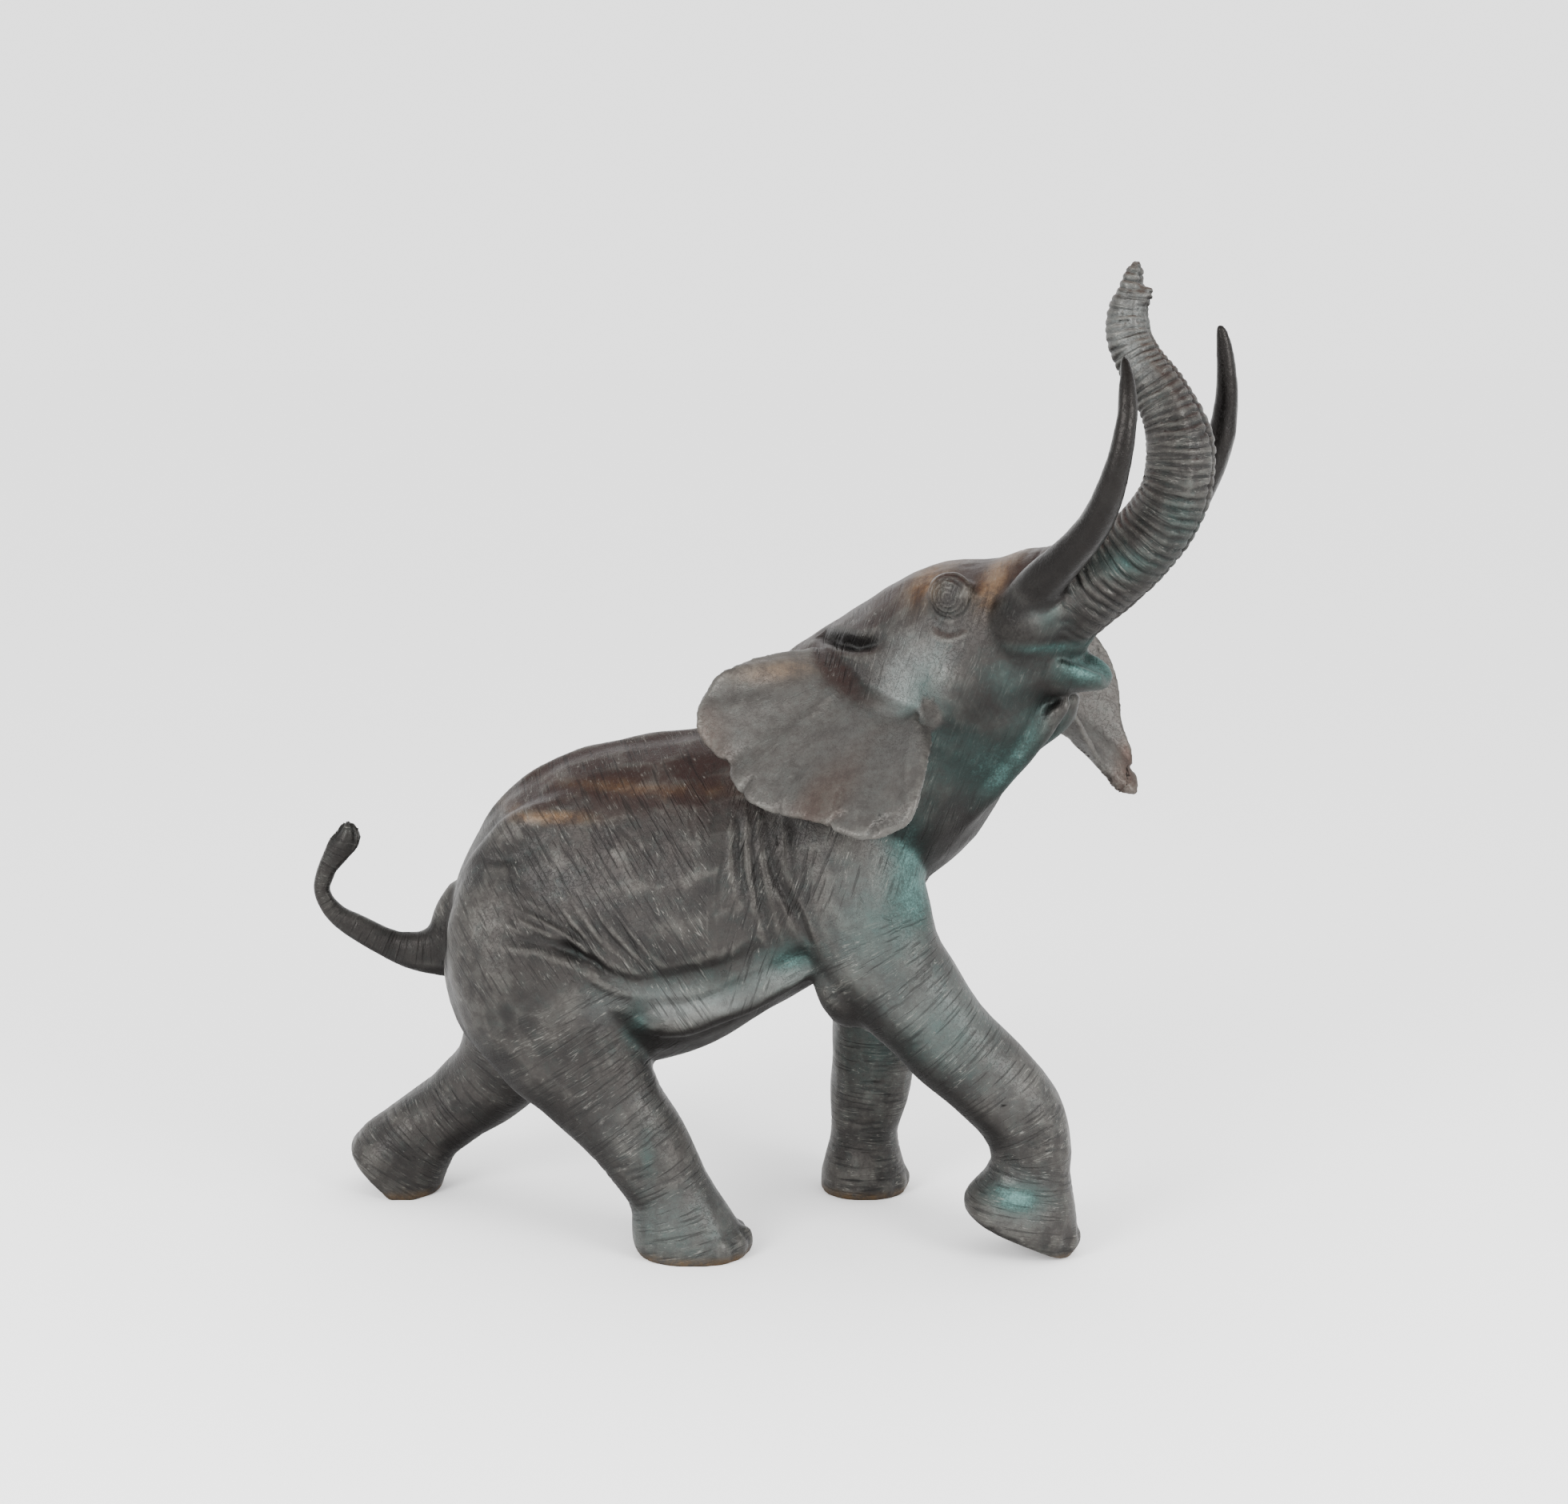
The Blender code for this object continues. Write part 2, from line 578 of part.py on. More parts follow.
def stood_on_ground(mesh_data):
    """The mesh cut flat at the soles, closed, and centred over the origin."""
    bm = bmesh.new()
    bm.from_mesh(mesh_data)
    everything = bm.verts[:] + bm.edges[:] + bm.faces[:]
    bmesh.ops.bisect_plane(bm, geom=everything, plane_co=(0, 0, 0), plane_no=(0, 0, 1), clear_inner=True)
    rims = [edge for edge in bm.edges if edge.is_boundary]
    bmesh.ops.holes_fill(bm, edges=rims, sides=0)
    bmesh.ops.triangulate(bm, faces=bm.faces[:])
    bmesh.ops.recalc_face_normals(bm, faces=bm.faces[:])
    points = np.array([vert.co for vert in bm.verts])
    middle = (points.min(axis=0) + points.max(axis=0)) / 2
    bmesh.ops.translate(bm, verts=bm.verts[:], vec=(-middle[0], -middle[1], 0.0))
    finished = bpy.data.meshes.new("elephant")
    bm.to_mesh(finished)
    bm.free()
    return new_object("elephant", finished)


def bronze():
    """Dark patinated bronze."""
    material = bpy.data.materials.new("patinated_bronze")
    material.use_nodes = True
    shader = material.node_tree.nodes["Principled BSDF"]
    shader.inputs["Base Color"].default_value = BRONZE_COLOR
    shader.inputs["Metallic"].default_value = 0.6
    shader.inputs["Roughness"].default_value = BRONZE_ROUGHNESS
    return material


def main():
    for old in list(bpy.data.objects):
        bpy.data.objects.remove(old)
    statue = elephant()
    statue.data.materials.append(bronze())
    statue.data.shade_smooth()
    sculpture = bpy.data.collections.new("elephant_sculpture")
    bpy.context.scene.collection.children.link(sculpture)
    bpy.context.scene.collection.objects.unlink(statue)
    sculpture.objects.link(statue)


main()
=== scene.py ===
# %% [markdown]
# A running elephant with its head thrown up, cast in bronze and left outdoors until it turned grey and
# green. The solid gives the pose, the legs, the ears and the tusks. This lesson copies it, makes it smooth,
# carves the skin into it as a sculptor would with a loop and a comb, and then gives it the patina of old
# bronze. Units are metres. Places on the animal are given in percent of its height, as a sculptor measures
# a model.

# %% Frame
import math

import bmesh
import bpy
import numpy as np
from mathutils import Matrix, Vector
from mathutils.bvhtree import BVHTree


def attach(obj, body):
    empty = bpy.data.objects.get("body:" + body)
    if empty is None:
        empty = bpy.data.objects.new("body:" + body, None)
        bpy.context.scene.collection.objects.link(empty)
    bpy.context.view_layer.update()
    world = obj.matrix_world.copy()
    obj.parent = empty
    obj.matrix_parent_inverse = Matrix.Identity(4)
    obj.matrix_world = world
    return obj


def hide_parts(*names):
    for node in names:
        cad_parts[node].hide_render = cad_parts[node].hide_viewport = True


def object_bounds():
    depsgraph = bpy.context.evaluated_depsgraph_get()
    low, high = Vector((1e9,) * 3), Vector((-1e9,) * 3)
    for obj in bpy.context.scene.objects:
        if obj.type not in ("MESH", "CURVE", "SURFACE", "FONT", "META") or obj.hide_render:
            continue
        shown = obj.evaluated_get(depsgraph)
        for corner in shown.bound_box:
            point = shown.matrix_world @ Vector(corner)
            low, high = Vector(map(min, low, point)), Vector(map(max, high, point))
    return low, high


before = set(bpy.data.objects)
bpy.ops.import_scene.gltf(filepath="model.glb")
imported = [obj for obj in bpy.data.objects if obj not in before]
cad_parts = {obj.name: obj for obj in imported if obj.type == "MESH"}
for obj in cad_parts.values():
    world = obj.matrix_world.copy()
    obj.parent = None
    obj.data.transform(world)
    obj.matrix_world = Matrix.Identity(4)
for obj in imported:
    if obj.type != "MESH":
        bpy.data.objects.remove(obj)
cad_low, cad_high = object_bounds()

print("the casting measures", [round(size, 3) for size in cad_high - cad_low])

# %% [markdown]
# The camera stands a little above the animal's back and looks at its right side. A long lens keeps the legs
# from swelling, as a catalogue photograph does.

# %% Camera
LENS_LENGTH = 66  # millimetres
FILM_WIDTH = 36  # millimetres
CAMERA_PLACE = (0.0447, -5.3633, 2.0)
LOOKS_DOWN = 10.8  # degrees

lens = bpy.data.cameras.new("studio_camera")
lens.lens = LENS_LENGTH
lens.sensor_width = FILM_WIDTH
camera = bpy.data.objects.new("studio_camera", lens)
camera.location = CAMERA_PLACE
camera.rotation_euler = (math.radians(90 - LOOKS_DOWN), 0, 0)
bpy.context.scene.collection.objects.link(camera)
bpy.context.scene.camera = camera

# %% [markdown]
# Two frames of reference save much arithmetic. The body's runs straight ahead. The head's is turned 30
# degrees to the animal's right, so that forward is along the muzzle and left and right are the two sides of
# the face.

# %% Places on the body and on the head
PERCENT = 0.019  # metres in one percent of the height
BODY_MIDDLE = np.array((0.0447, 0.1367, 0.0))
NECK_PIVOT = np.array((4.9, 0.0, 0.0))
HEAD_TURN = math.radians(30)
HEAD_AXES = np.array(
    (
        (math.cos(HEAD_TURN), -math.sin(HEAD_TURN), 0.0),
        (math.sin(HEAD_TURN), math.cos(HEAD_TURN), 0.0),
        (0.0, 0.0, 1.0),
    )
)


def on_body(points):
    """Metres to percent: x ahead, y to the left and z up."""
    return (points - BODY_MIDDLE) / PERCENT


def on_head(points):
    """Metres to percent on the turned head: forward, left and up."""
    return (on_body(points) - NECK_PIVOT) @ HEAD_AXES.T


def from_body(rows):
    """Percent to metres."""
    return np.array(rows, float) * PERCENT + BODY_MIDDLE


def from_head(rows):
    """Percent on the turned head to metres."""
    return from_body(np.array(rows, float) @ HEAD_AXES + NECK_PIVOT)


print("the trunk's tip is", round(cad_high.z / PERCENT, 1), "percent up")

# %% [markdown]
# The solid is faceted, because it has to be light. A copy of it is merged, so that its loose triangles share
# their corners, and voxel remeshed into even quads of a few millimetres.

# %% Merge and remesh a copy of the solid
CLAY_SPACING = 0.0044
SAME_CORNER = 1e-5


def mesh_of(shape):
    """A new mesh with the object's modifiers applied."""
    graph = bpy.context.evaluated_depsgraph_get()
    return bpy.data.meshes.new_from_object(shape.evaluated_get(graph))


def set_mesh(shape, mesh_data):
    """Gives the object this mesh and drops the modifiers that made it."""
    shape.modifiers.clear()
    shape.data = mesh_data


solid = bpy.data.objects["elephant"]
joined = bmesh.new()
joined.from_mesh(solid.data)
bmesh.ops.remove_doubles(joined, verts=joined.verts[:], dist=SAME_CORNER)
clay = bpy.data.meshes.new("elephant_bronze")
joined.to_mesh(clay)
joined.free()
elephant = bpy.data.objects.new("elephant_bronze", clay)
bpy.context.scene.collection.objects.link(elephant)
remesh = elephant.modifiers.new("clay", "REMESH")
remesh.mode = "VOXEL"
remesh.voxel_size = CLAY_SPACING
set_mesh(elephant, mesh_of(elephant))
print("clay of", len(elephant.data.vertices), "points")

# %% [markdown]
# The facets are eased away by pulling each point towards the mean of its neighbours, and then pushing it
# back a little farther than it came. The push keeps the tusks, ears and tail from thinning, which plain
# smoothing doesn't.

# %% Ease the facets away
EASE_ROUNDS = 45
PULL = 0.6
PUSH = -0.62


def places(mesh_data):
    """The mesh's points, as rows of x, y and z."""
    flat = np.empty(len(mesh_data.vertices) * 3)
    mesh_data.vertices.foreach_get("co", flat)
    return flat.reshape(-1, 3)


def outwards(mesh_data):
    """The mesh's directions outwards, one for each point."""
    flat = np.empty(len(mesh_data.vertices) * 3)
    mesh_data.vertex_normals.foreach_get("vector", flat)
    return flat.reshape(-1, 3)


def put(mesh_data, points):
    """Moves the mesh's points."""
    mesh_data.vertices.foreach_set("co", points.ravel())
    mesh_data.update()


def neighbours(mesh_data):
    """Both ends of every edge, in both directions, and how many neighbours each point has."""
    ends = np.empty(len(mesh_data.edges) * 2, dtype=np.int64)
    mesh_data.edges.foreach_get("vertices", ends)
    ends = ends.reshape(-1, 2)
    here = np.concatenate((ends[:, 0], ends[:, 1]))
    there = np.concatenate((ends[:, 1], ends[:, 0]))
    return here, there, np.bincount(here, minlength=len(mesh_data.vertices))


def mean_of_neighbours(values, links):
    """The mean of each point's neighbours, of a column or of rows of values."""
    here, there, counts = links
    rows = values.reshape(len(counts), -1)
    sums = [np.bincount(here, rows[there, k], len(counts)) for k in range(rows.shape[1])]
    return (np.stack(sums, axis=1) / counts[:, None]).reshape(values.shape)


links = neighbours(elephant.data)
points = places(elephant.data)
for _ in range(EASE_ROUNDS):
    for move in (PULL, PUSH):
        points = points + move * (mean_of_neighbours(points, links) - points)
put(elephant.data, points)
normals = outwards(elephant.data)
print("eased, now", [round(float(size), 3) for size in np.ptp(points, axis=0)], "m")

# %% [markdown]
# Wrinkles follow the part that they lie on: they ring the trunk, the legs and the tail. So each of these
# parts has a middle line, and every point of the clay knows how far along the line it is and in which
# direction it looks away from it.

# %% Middle lines of the trunk, tusks, tail and legs
TRUNK = from_head(
    (
        (20.0, 0, 64.6),
        (25.5, 0, 68.0),
        (28.6, 0, 69.6),
        (32.4, 0, 72.3),
        (35.2, 0, 75.2),
        (36.9, 0, 78.3),
        (37.4, 0, 81.6),
        (36.8, 0, 84.9),
        (35.2, 0, 87.9),
        (33.3, 0, 90.4),
        (32.1, 0, 92.6),
        (31.7, 0, 94.9),
        (31.9, 0, 96.9),
        (32.5, 0, 100.0),
    )
)
RIGHT_TUSK = from_head(
    (
        (22.6, -5.6, 66.0),
        (26.3, -6.8, 69.9),
        (29.1, -7.6, 72.4),
        (31.6, -8.4, 74.8),
        (33.5, -9.2, 77.3),
        (35.0, -10.0, 80.4),
        (35.9, -10.3, 83.4),
        (36.2, -10.0, 86.6),
        (35.9, -9.5, 89.1),
        (35.3, -8.9, 91.6),
    )
)
LEFT_TUSK = from_head(
    (
        (23.6, 5.2, 65.4),
        (28.6, 6.8, 69.2),
        (31.2, 7.9, 71.6),
        (33.2, 8.9, 74.0),
        (34.9, 9.7, 76.8),
        (36.2, 10.3, 79.8),
        (37.2, 10.5, 82.8),
        (37.7, 10.5, 85.8),
        (37.9, 10.0, 88.9),
        (37.4, 8.9, 93.9),
    )
)
TAIL = from_body(
    (
        (-32.5, 0, 31.0),
        (-35.4, 0, 29.2),
        (-37.0, 0, 28.9),
        (-40.2, 0, 29.5),
        (-43.6, 0, 31.2),
        (-46.4, 0, 33.0),
        (-47.8, 0, 35.4),
        (-47.2, 0, 37.8),
        (-46.0, 0, 39.8),
        (-45.1, 0, 42.7),
    )
)
LEGS = {
    "right_hind": from_body(
        (
            (-25.6, -7, 36),
            (-24.4, -8, 27),
            (-19.6, -9, 18.6),
            (-15, -10, 12.3),
            (-11.4, -10, 6),
            (-9.5, -10, -1),
        )
    ),
    "left_hind": from_body(
        (
            (-26.4, 7, 32),
            (-27.6, 8, 21.5),
            (-30.4, 8, 14.2),
            (-34.8, 9, 9.9),
            (-39.6, 9.5, 6),
            (-44, 9.5, 0),
        )
    ),
    "right_fore": from_body(
        (
            (5.0, -7, 44),
            (8.6, -9, 33),
            (12.6, -10, 27),
            (21, -10, 18),
            (25, -10, 12),
            (25, -10, 8),
            (23.6, -10, 0),
        )
    ),
    "left_fore": from_body(
        (
            (6.0, 7, 42),
            (8.6, 8, 32),
            (10, 8.6, 24),
            (9.8, 9, 17),
            (9.3, 9.3, 11.4),
            (8.7, 9.5, 6),
            (8.6, 9.5, -1),
        )
    ),
}
LINE_STEPS = 10
LINE_REACH = 0.24  # past this many metres a point has nothing to do with a line
BLOCK = 2000  # points measured at a time, which keeps the tables of distances small


def smooth_line(rows, steps=LINE_STEPS):
    """A Catmull-Rom curve through the rows."""
    ends = np.vstack([2 * rows[0] - rows[1], rows, 2 * rows[-1] - rows[-2]])
    found = []
    for i in range(len(rows) - 1):
        a, b, c, d = ends[i : i + 4]
        for t in np.arange(steps) / steps:
            curve = 2 * b + (c - a) * t
            curve = curve + (2 * a - 5 * b + 4 * c - d) * t**2
            curve = curve + (3 * b - a - 3 * c + d) * t**3
            found.append(0.5 * curve)
    return np.array([*found, rows[-1]])


def nearest_of(spots, points):
    """The nearest of the spots to each point, and how far it is."""
    nearest = np.empty(len(points), dtype=np.int64)
    away = np.empty(len(points))
    for start in range(0, len(points), BLOCK):
        block = points[start : start + BLOCK]
        squares = (block**2).sum(axis=1)[:, None] - 2 * block @ spots.T + (spots**2).sum(axis=1)
        nearest[start : start + BLOCK] = squares.argmin(axis=1)
        away[start : start + BLOCK] = np.sqrt(np.maximum(squares.min(axis=1), 0))
    return nearest, away


def within(points, spots, reach):
    """The numbers of the points inside the spots' box and this reach around it."""
    inside = (points > spots.min(axis=0) - reach) & (points < spots.max(axis=0) + reach)
    return np.flatnonzero(inside.all(axis=1))


def along_line(points, rows):
    """How far along the line each point is, its offset from the line, and the line's direction there."""
    line = smooth_line(rows)
    steps = np.linalg.norm(np.diff(line, axis=0), axis=1)
    lengths = np.concatenate(([0.0], np.cumsum(steps)))
    directions = np.gradient(line, axis=0)
    directions /= np.linalg.norm(directions, axis=1)[:, None]
    along = np.full(len(points), -1.0)
    offsets = np.full((len(points), 3), 1.0)
    facing = np.tile(directions[0], (len(points), 1))
    close = within(points, line, LINE_REACH)
    nearest, _ = nearest_of(line, points[close])
    offset = points[close] - line[nearest]
    ahead = (offset * directions[nearest]).sum(axis=1)
    offsets[close] = offset - ahead[:, None] * directions[nearest]
    along[close] = lengths[nearest] + ahead
    facing[close] = directions[nearest]
    return along, offsets, facing


def fade(values, start, end):
    """0 before start, 1 after end, and smooth between. With end below start it fades out instead."""
    t = np.clip((values - start) / (end - start), 0.0, 1.0)
    return t * t * (3 - 2 * t)


def looked_up(places_along, rows):
    """Reads a changing size off a table whose rows are a place and the size there."""
    spots, sizes = np.array(rows, float).T
    return np.interp(places_along, spots, sizes)


print("the trunk is", round(float(along_line(TRUNK[-1:], TRUNK)[0][0]), 2), "m long")

# %% [markdown]
# Nothing that a hand makes is even. This small function gives a slow random wander over the surface, about
# -1 to 1, made of a few waves in random directions. Its seed makes it the same on each run.

# %% Wander
WAVES = 7


def wander(points, size, seed):
    """Smooth noise with lumps of about this size."""
    chance = np.random.default_rng(seed)
    total = np.zeros(len(points))
    for _ in range(WAVES):
        direction = chance.normal(size=3)
        direction /= np.linalg.norm(direction)
        wave = size * 2 * chance.uniform(0.7, 1.6)
        total += np.sin(2 * math.pi * (points @ direction) / wave + chance.uniform(0, 2 * math.pi))
    return total / math.sqrt(WAVES)


print("wander reaches", round(float(np.abs(wander(points, 0.05, 1)).max()), 2))

# %% [markdown]
# Where is each part? A point belongs to a tusk, the trunk, a leg or the tail if it is close to that part's
# middle line, and to an ear if it is close to the fan-shaped sheet between the ear's root and its rim.
# Shares between 0 and 1 blend one part into the next.

# %% Parts as shares
RIGHT_EAR_ROOT = ((1.9, -7.0, 61.9), (7.3, -8.6, 59.9), (10.9, -8.8, 58.3), (14.3, -8.4, 56.9))
RIGHT_EAR_RIM = (
    (0.8, -9.5, 61.8),
    (-0.8, -12.7, 61.5),
    (-2.1, -15.6, 60.9),
    (-3.3, -18.0, 59.9),
    (-4.2, -19.1, 58.0),
    (-4.0, -20.0, 55.8),
    (-2.3, -20.2, 53.2),
    (-0.1, -20.8, 51.2),
    (2.6, -21.6, 49.4),
    (6.2, -22.1, 48.1),
    (10.8, -22.9, 47.9),
    (14.8, -23.3, 47.4),
    (18.1, -22.8, 47.5),
    (20.3, -21.7, 48.8),
    (20.5, -19.2, 51.4),
    (19.4, -15.6, 54.2),
    (17.4, -12.3, 55.9),
)
LEFT_EAR_ROOT = ((5.0, 7.0, 63.0), (9.0, 8.2, 61.0), (12.5, 8.4, 58.6), (16.0, 7.8, 56.4))
LEFT_EAR_RIM = (
    (4.6, 10.5, 64.4),
    (5.2, 14.0, 65.6),
    (7.4, 18.0, 66.2),
    (11.0, 21.0, 65.8),
    (15.0, 22.6, 64.0),
    (18.4, 23.6, 61.2),
    (20.3, 24.0, 57.5),
    (21.6, 24.0, 53.4),
    (22.6, 24.0, 50.0),
    (23.5, 23.6, 47.1),
    (24.4, 23.0, 44.4),
    (23.0, 22.0, 44.3),
    (21.6, 20.0, 46.8),
    (21.2, 17.5, 50.5),
    (20.4, 14.5, 53.8),
    (18.0, 11.6, 55.2),
)
EAR_SHEET = 0.016  # half of the thickness that still counts as ear
EAR_RIM_STEPS = 6
EAR_ROWS = 36
TRUNK_RADII = ((0.0, 0.14), (0.2, 0.10), (0.5, 0.085), (0.8, 0.065), (1.1, 0.05))
TUSK_RADII = ((0.0, 0.050), (0.12, 0.046), (0.6, 0.024))


def ear_sheet(root, rim):
    """The ear as places, their shares along the rim and from root to rim, and their directions outwards."""
    edge = smooth_line(from_head(rim), EAR_RIM_STEPS)
    along = np.linspace(0, 1, len(edge))
    base = from_head(root)
    start = np.stack([np.interp(along, np.linspace(0, 1, len(base)), base[:, k]) for k in range(3)], axis=1)
    down = np.linspace(0, 1, EAR_ROWS)
    grid = start[:, None] * (1 - down)[None, :, None] + edge[:, None] * down[None, :, None]
    across = np.cross(np.gradient(grid, axis=0), np.gradient(grid, axis=1))
    across /= np.linalg.norm(across, axis=2)[:, :, None] + 1e-12
    shares = np.stack(np.meshgrid(along, down, indexing="ij"), axis=2)
    return grid.reshape(-1, 3), shares.reshape(-1, 2), across.reshape(-1, 3)


def near_sheet(points, sheet):
    """How much of an ear each point is, with its two shares and the sheet's direction outwards."""
    grid, shares, across = sheet
    close = within(points, grid, 3 * EAR_SHEET)
    nearest, away = nearest_of(grid, points[close])
    belongs = np.zeros(len(points))
    rows = np.zeros((len(points), 2))
    out = np.zeros((len(points), 3))
    belongs[close] = fade(away, EAR_SHEET * 2.6, EAR_SHEET * 1.9) * fade(shares[nearest, 1], 0.10, 0.28)
    rows[close] = shares[nearest]
    out[close] = across[nearest]
    return belongs, rows, out


EARS = (ear_sheet(RIGHT_EAR_ROOT, RIGHT_EAR_RIM), ear_sheet(LEFT_EAR_ROOT, LEFT_EAR_RIM))


def parts_of(points):
    """Each point's share of the tusks, trunk, tail, legs and ears, and how far along each line it is."""
    found = {}
    trunk_along, trunk_offset, trunk_direction = along_line(points, TRUNK)
    trunk_radius = looked_up(trunk_along, TRUNK_RADII)
    trunk_near = np.linalg.norm(trunk_offset, axis=1)
    found["tusk"] = np.zeros(len(points))
    for line in (RIGHT_TUSK, LEFT_TUSK):
        span_along, offset, _ = along_line(points, line)
        away = np.linalg.norm(offset, axis=1)
        reach = looked_up(span_along, TUSK_RADII)
        belongs = fade(away, reach * 1.12, reach) * fade(span_along, 0.05, 0.11)
        found["tusk"] = np.maximum(found["tusk"], belongs)
    found["trunk"] = fade(trunk_near, trunk_radius * 1.25, trunk_radius) * fade(trunk_along, 0.05, 0.20)
    found["trunk"] *= 1 - found["tusk"]
    found["trunk_along"] = trunk_along
    found["trunk_offset"] = trunk_offset
    found["trunk_direction"] = trunk_direction
    body = on_body(points)
    tail_along, tail_offset, _ = along_line(points, TAIL)
    found["tail"] = fade(body[:, 0], -33.5, -36.0) * fade(body[:, 2], 27.0, 28.5)
    found["tail"] *= fade(np.linalg.norm(tail_offset, axis=1), 0.07, 0.05)
    found["tail_along"] = tail_along
    found["tail_offset"] = tail_offset
    found["leg"] = np.zeros(len(points))
    found["leg_along"] = np.zeros(len(points))
    found["leg_offset"] = np.zeros((len(points), 3))
    for name, line in LEGS.items():
        side = 1 if name.startswith("left") else -1
        leg_along, offset, _ = along_line(points, line)
        belongs = fade(np.linalg.norm(offset, axis=1), 0.22, 0.17) * fade(leg_along, 0.10, 0.26)
        belongs *= fade(body[:, 1] * side, 1.0, 3.5) * (1 - found["tail"])
        mine = belongs > found["leg"]
        found["leg"][mine] = belongs[mine]
        found["leg_along"][mine] = leg_along[mine]
        found["leg_offset"][mine] = offset[mine]
    found["ear"] = np.zeros(len(points))
    found["ear_shares"] = np.zeros((len(points), 2))
    found["ear_out"] = np.zeros((len(points), 3))
    for sheet in EARS:
        belongs, rows, out = near_sheet(points, sheet)
        mine = belongs > found["ear"]
        for key, values in (("ear", belongs), ("ear_shares", rows), ("ear_out", out)):
            found[key][mine] = values[mine]
    return found


parts = parts_of(points)
print({name: round(float(values.mean()), 3) for name, values in parts.items() if values.ndim == 1})

# %% [markdown]
# Now the carving. Each cut is a line drawn on the skin: its dots are thrown straight at the animal's side
# and stay where they land, and the clay beside it is pushed in along its own direction, deepest in the
# middle and fading at both ends. The clay pushed out stands up as a low lip on each side, which is what
# makes it a fold and not a scratch. Both sides of the animal get the same folds.

# %% Carving tools
DOT_SPACING = 0.003
THROW = 1.2  # metres from the middle plane to where the dots are thrown from
relief = np.zeros(len(points))
skin = BVHTree.FromPolygons(
    points.tolist(), [tuple(face.vertices) for face in elephant.data.polygons], all_triangles=False
)


def drawn(rows, side, place=from_body, axes=np.eye(3)):
    """A line of dots on this side of the skin, through rows of forward and up in percent."""
    rows = np.array([(ahead, 0.0, up) for ahead, up in rows], float)
    line = place(smooth_line(rows, 12) if len(rows) > 2 else np.linspace(rows[0], rows[1], 24))
    lengths = np.concatenate(([0.0], np.cumsum(np.linalg.norm(np.diff(line, axis=0), axis=1))))
    wanted = np.arange(0.0, lengths[-1], DOT_SPACING)
    line = np.stack([np.interp(wanted, lengths, line[:, k]) for k in range(3)], axis=1)
    away = axes[1] * side
    dots = []
    for dot in line + away * THROW:
        hit = skin.ray_cast(Vector(dot), Vector(-away))[0]
        if hit is not None:
            dots.append(hit)
    return np.array(dots).reshape(-1, 3)


def cut(dots, width, depth, lip=0.35):
    """Pushes the skin in under a line of dots. A negative depth raises a ridge instead."""
    if len(dots) < 3:
        return
    reach = width * 3.2
    near = within(points, dots, reach)
    spans = np.linalg.norm(points[near][:, None] - dots[None], axis=2)
    nearest = spans.argmin(axis=1)
    away = spans.min(axis=1) / width
    ends = np.sin(math.pi * (nearest + 0.5) / len(dots)) ** 0.6
    shape = np.exp(-(away**2)) - lip * np.exp(-(((away - 1.7) / 0.7) ** 2))
    relief[near] -= depth * ends * shape


def cut_both_sides(rows, width, depth, lip=0.35):
    """The same fold on both flanks."""
    for side in (-1, 1):
        cut(drawn(rows, side), width, depth, lip)


def cut_both_cheeks(rows, width, depth, lip=0.35):
    """The same fold on both sides of the head."""
    for side in (-1, 1):
        cut(drawn(rows, side, from_head, HEAD_AXES), width, depth, lip)


print("dots are", DOT_SPACING * 1000, "mm apart")

# %% [markdown]
# Easing takes a little off every thin tip. So before anything is carved, the trunk's two fingers and both
# tusks are drawn out again until they end where the solid's do.

# %% Draw the tips out
TIP_REACH = 0.10
FINGER_REACH = 0.035
LOWER_FINGER = from_head(((33.3, 0.0, 96.6), (34.2, 0.0, 97.5)))
solid_points = places(solid.data)


def draw_out(points, before, tip, reach):
    """Stretches the clay near a tip until it ends where the solid does."""
    along = (tip - before) / np.linalg.norm(tip - before)
    near_solid = np.linalg.norm(solid_points - tip, axis=1) < reach
    near = np.flatnonzero(np.linalg.norm(points - tip, axis=1) < reach)
    wanted = ((solid_points[near_solid] - tip) @ along).max()
    ahead = (points[near] - tip) @ along
    lack = wanted - ahead.max()
    points[near] += along * (lack * fade(ahead, ahead.max() - 0.75 * reach, ahead.max()))[:, None]
    return lack


lacks = [draw_out(points, *LOWER_FINGER, FINGER_REACH)]
for line in (TRUNK, RIGHT_TUSK, LEFT_TUSK):
    lacks.append(draw_out(points, line[-2], line[-1], TIP_REACH))
put(elephant.data, points)
normals = outwards(elephant.data)
print("tips drawn out by", [round(float(lack) * 1000, 1) for lack in lacks], "mm")

# %% [markdown]
# On the flank, deep creases fan out from where the thigh meets the belly, and long curved folds hang behind
# the shoulder blade, where the skin slides over it in every stride. The deepest crease runs over the thigh.

# %% Folds of the flank and the shoulder
HAUNCH_CREASES = (
    ((-26.9, 37.1), (-21.2, 34.3), (-17.9, 31.0)),
    ((-26.2, 36.0), (-20.7, 32.7), (-17.9, 30.5)),
    ((-27.6, 35.4), (-23.0, 33.4), (-17.0, 29.9)),
    ((-23.2, 36.6), (-20.2, 33.8), (-18.1, 30.8)),
    ((-21.4, 36.6), (-19.3, 33.8), (-17.0, 31.2)),
    ((-19.5, 36.6), (-17.5, 34.1), (-13.8, 30.6)),
    ((-17.2, 36.2), (-15.2, 33.6), (-12.2, 30.4)),
)
THIGH_CREASE = ((-28.0, 33.9), (-24.2, 33.3), (-20.7, 32.0), (-17.0, 29.9), (-13.8, 28.9))
SHOULDER_FOLDS = (
    ((-3.0, 47.0), (-2.9, 42.7), (-2.2, 38.0), (-0.9, 32.5)),
    ((-2.0, 47.2), (-1.7, 42.7), (-0.6, 38.2)),
    ((-1.0, 46.8), (-0.8, 41.8), (0.2, 38.4), (1.7, 35.2), (2.8, 32.6)),
    ((-4.2, 45.6), (-4.4, 41.6), (-3.8, 37.6)),
)
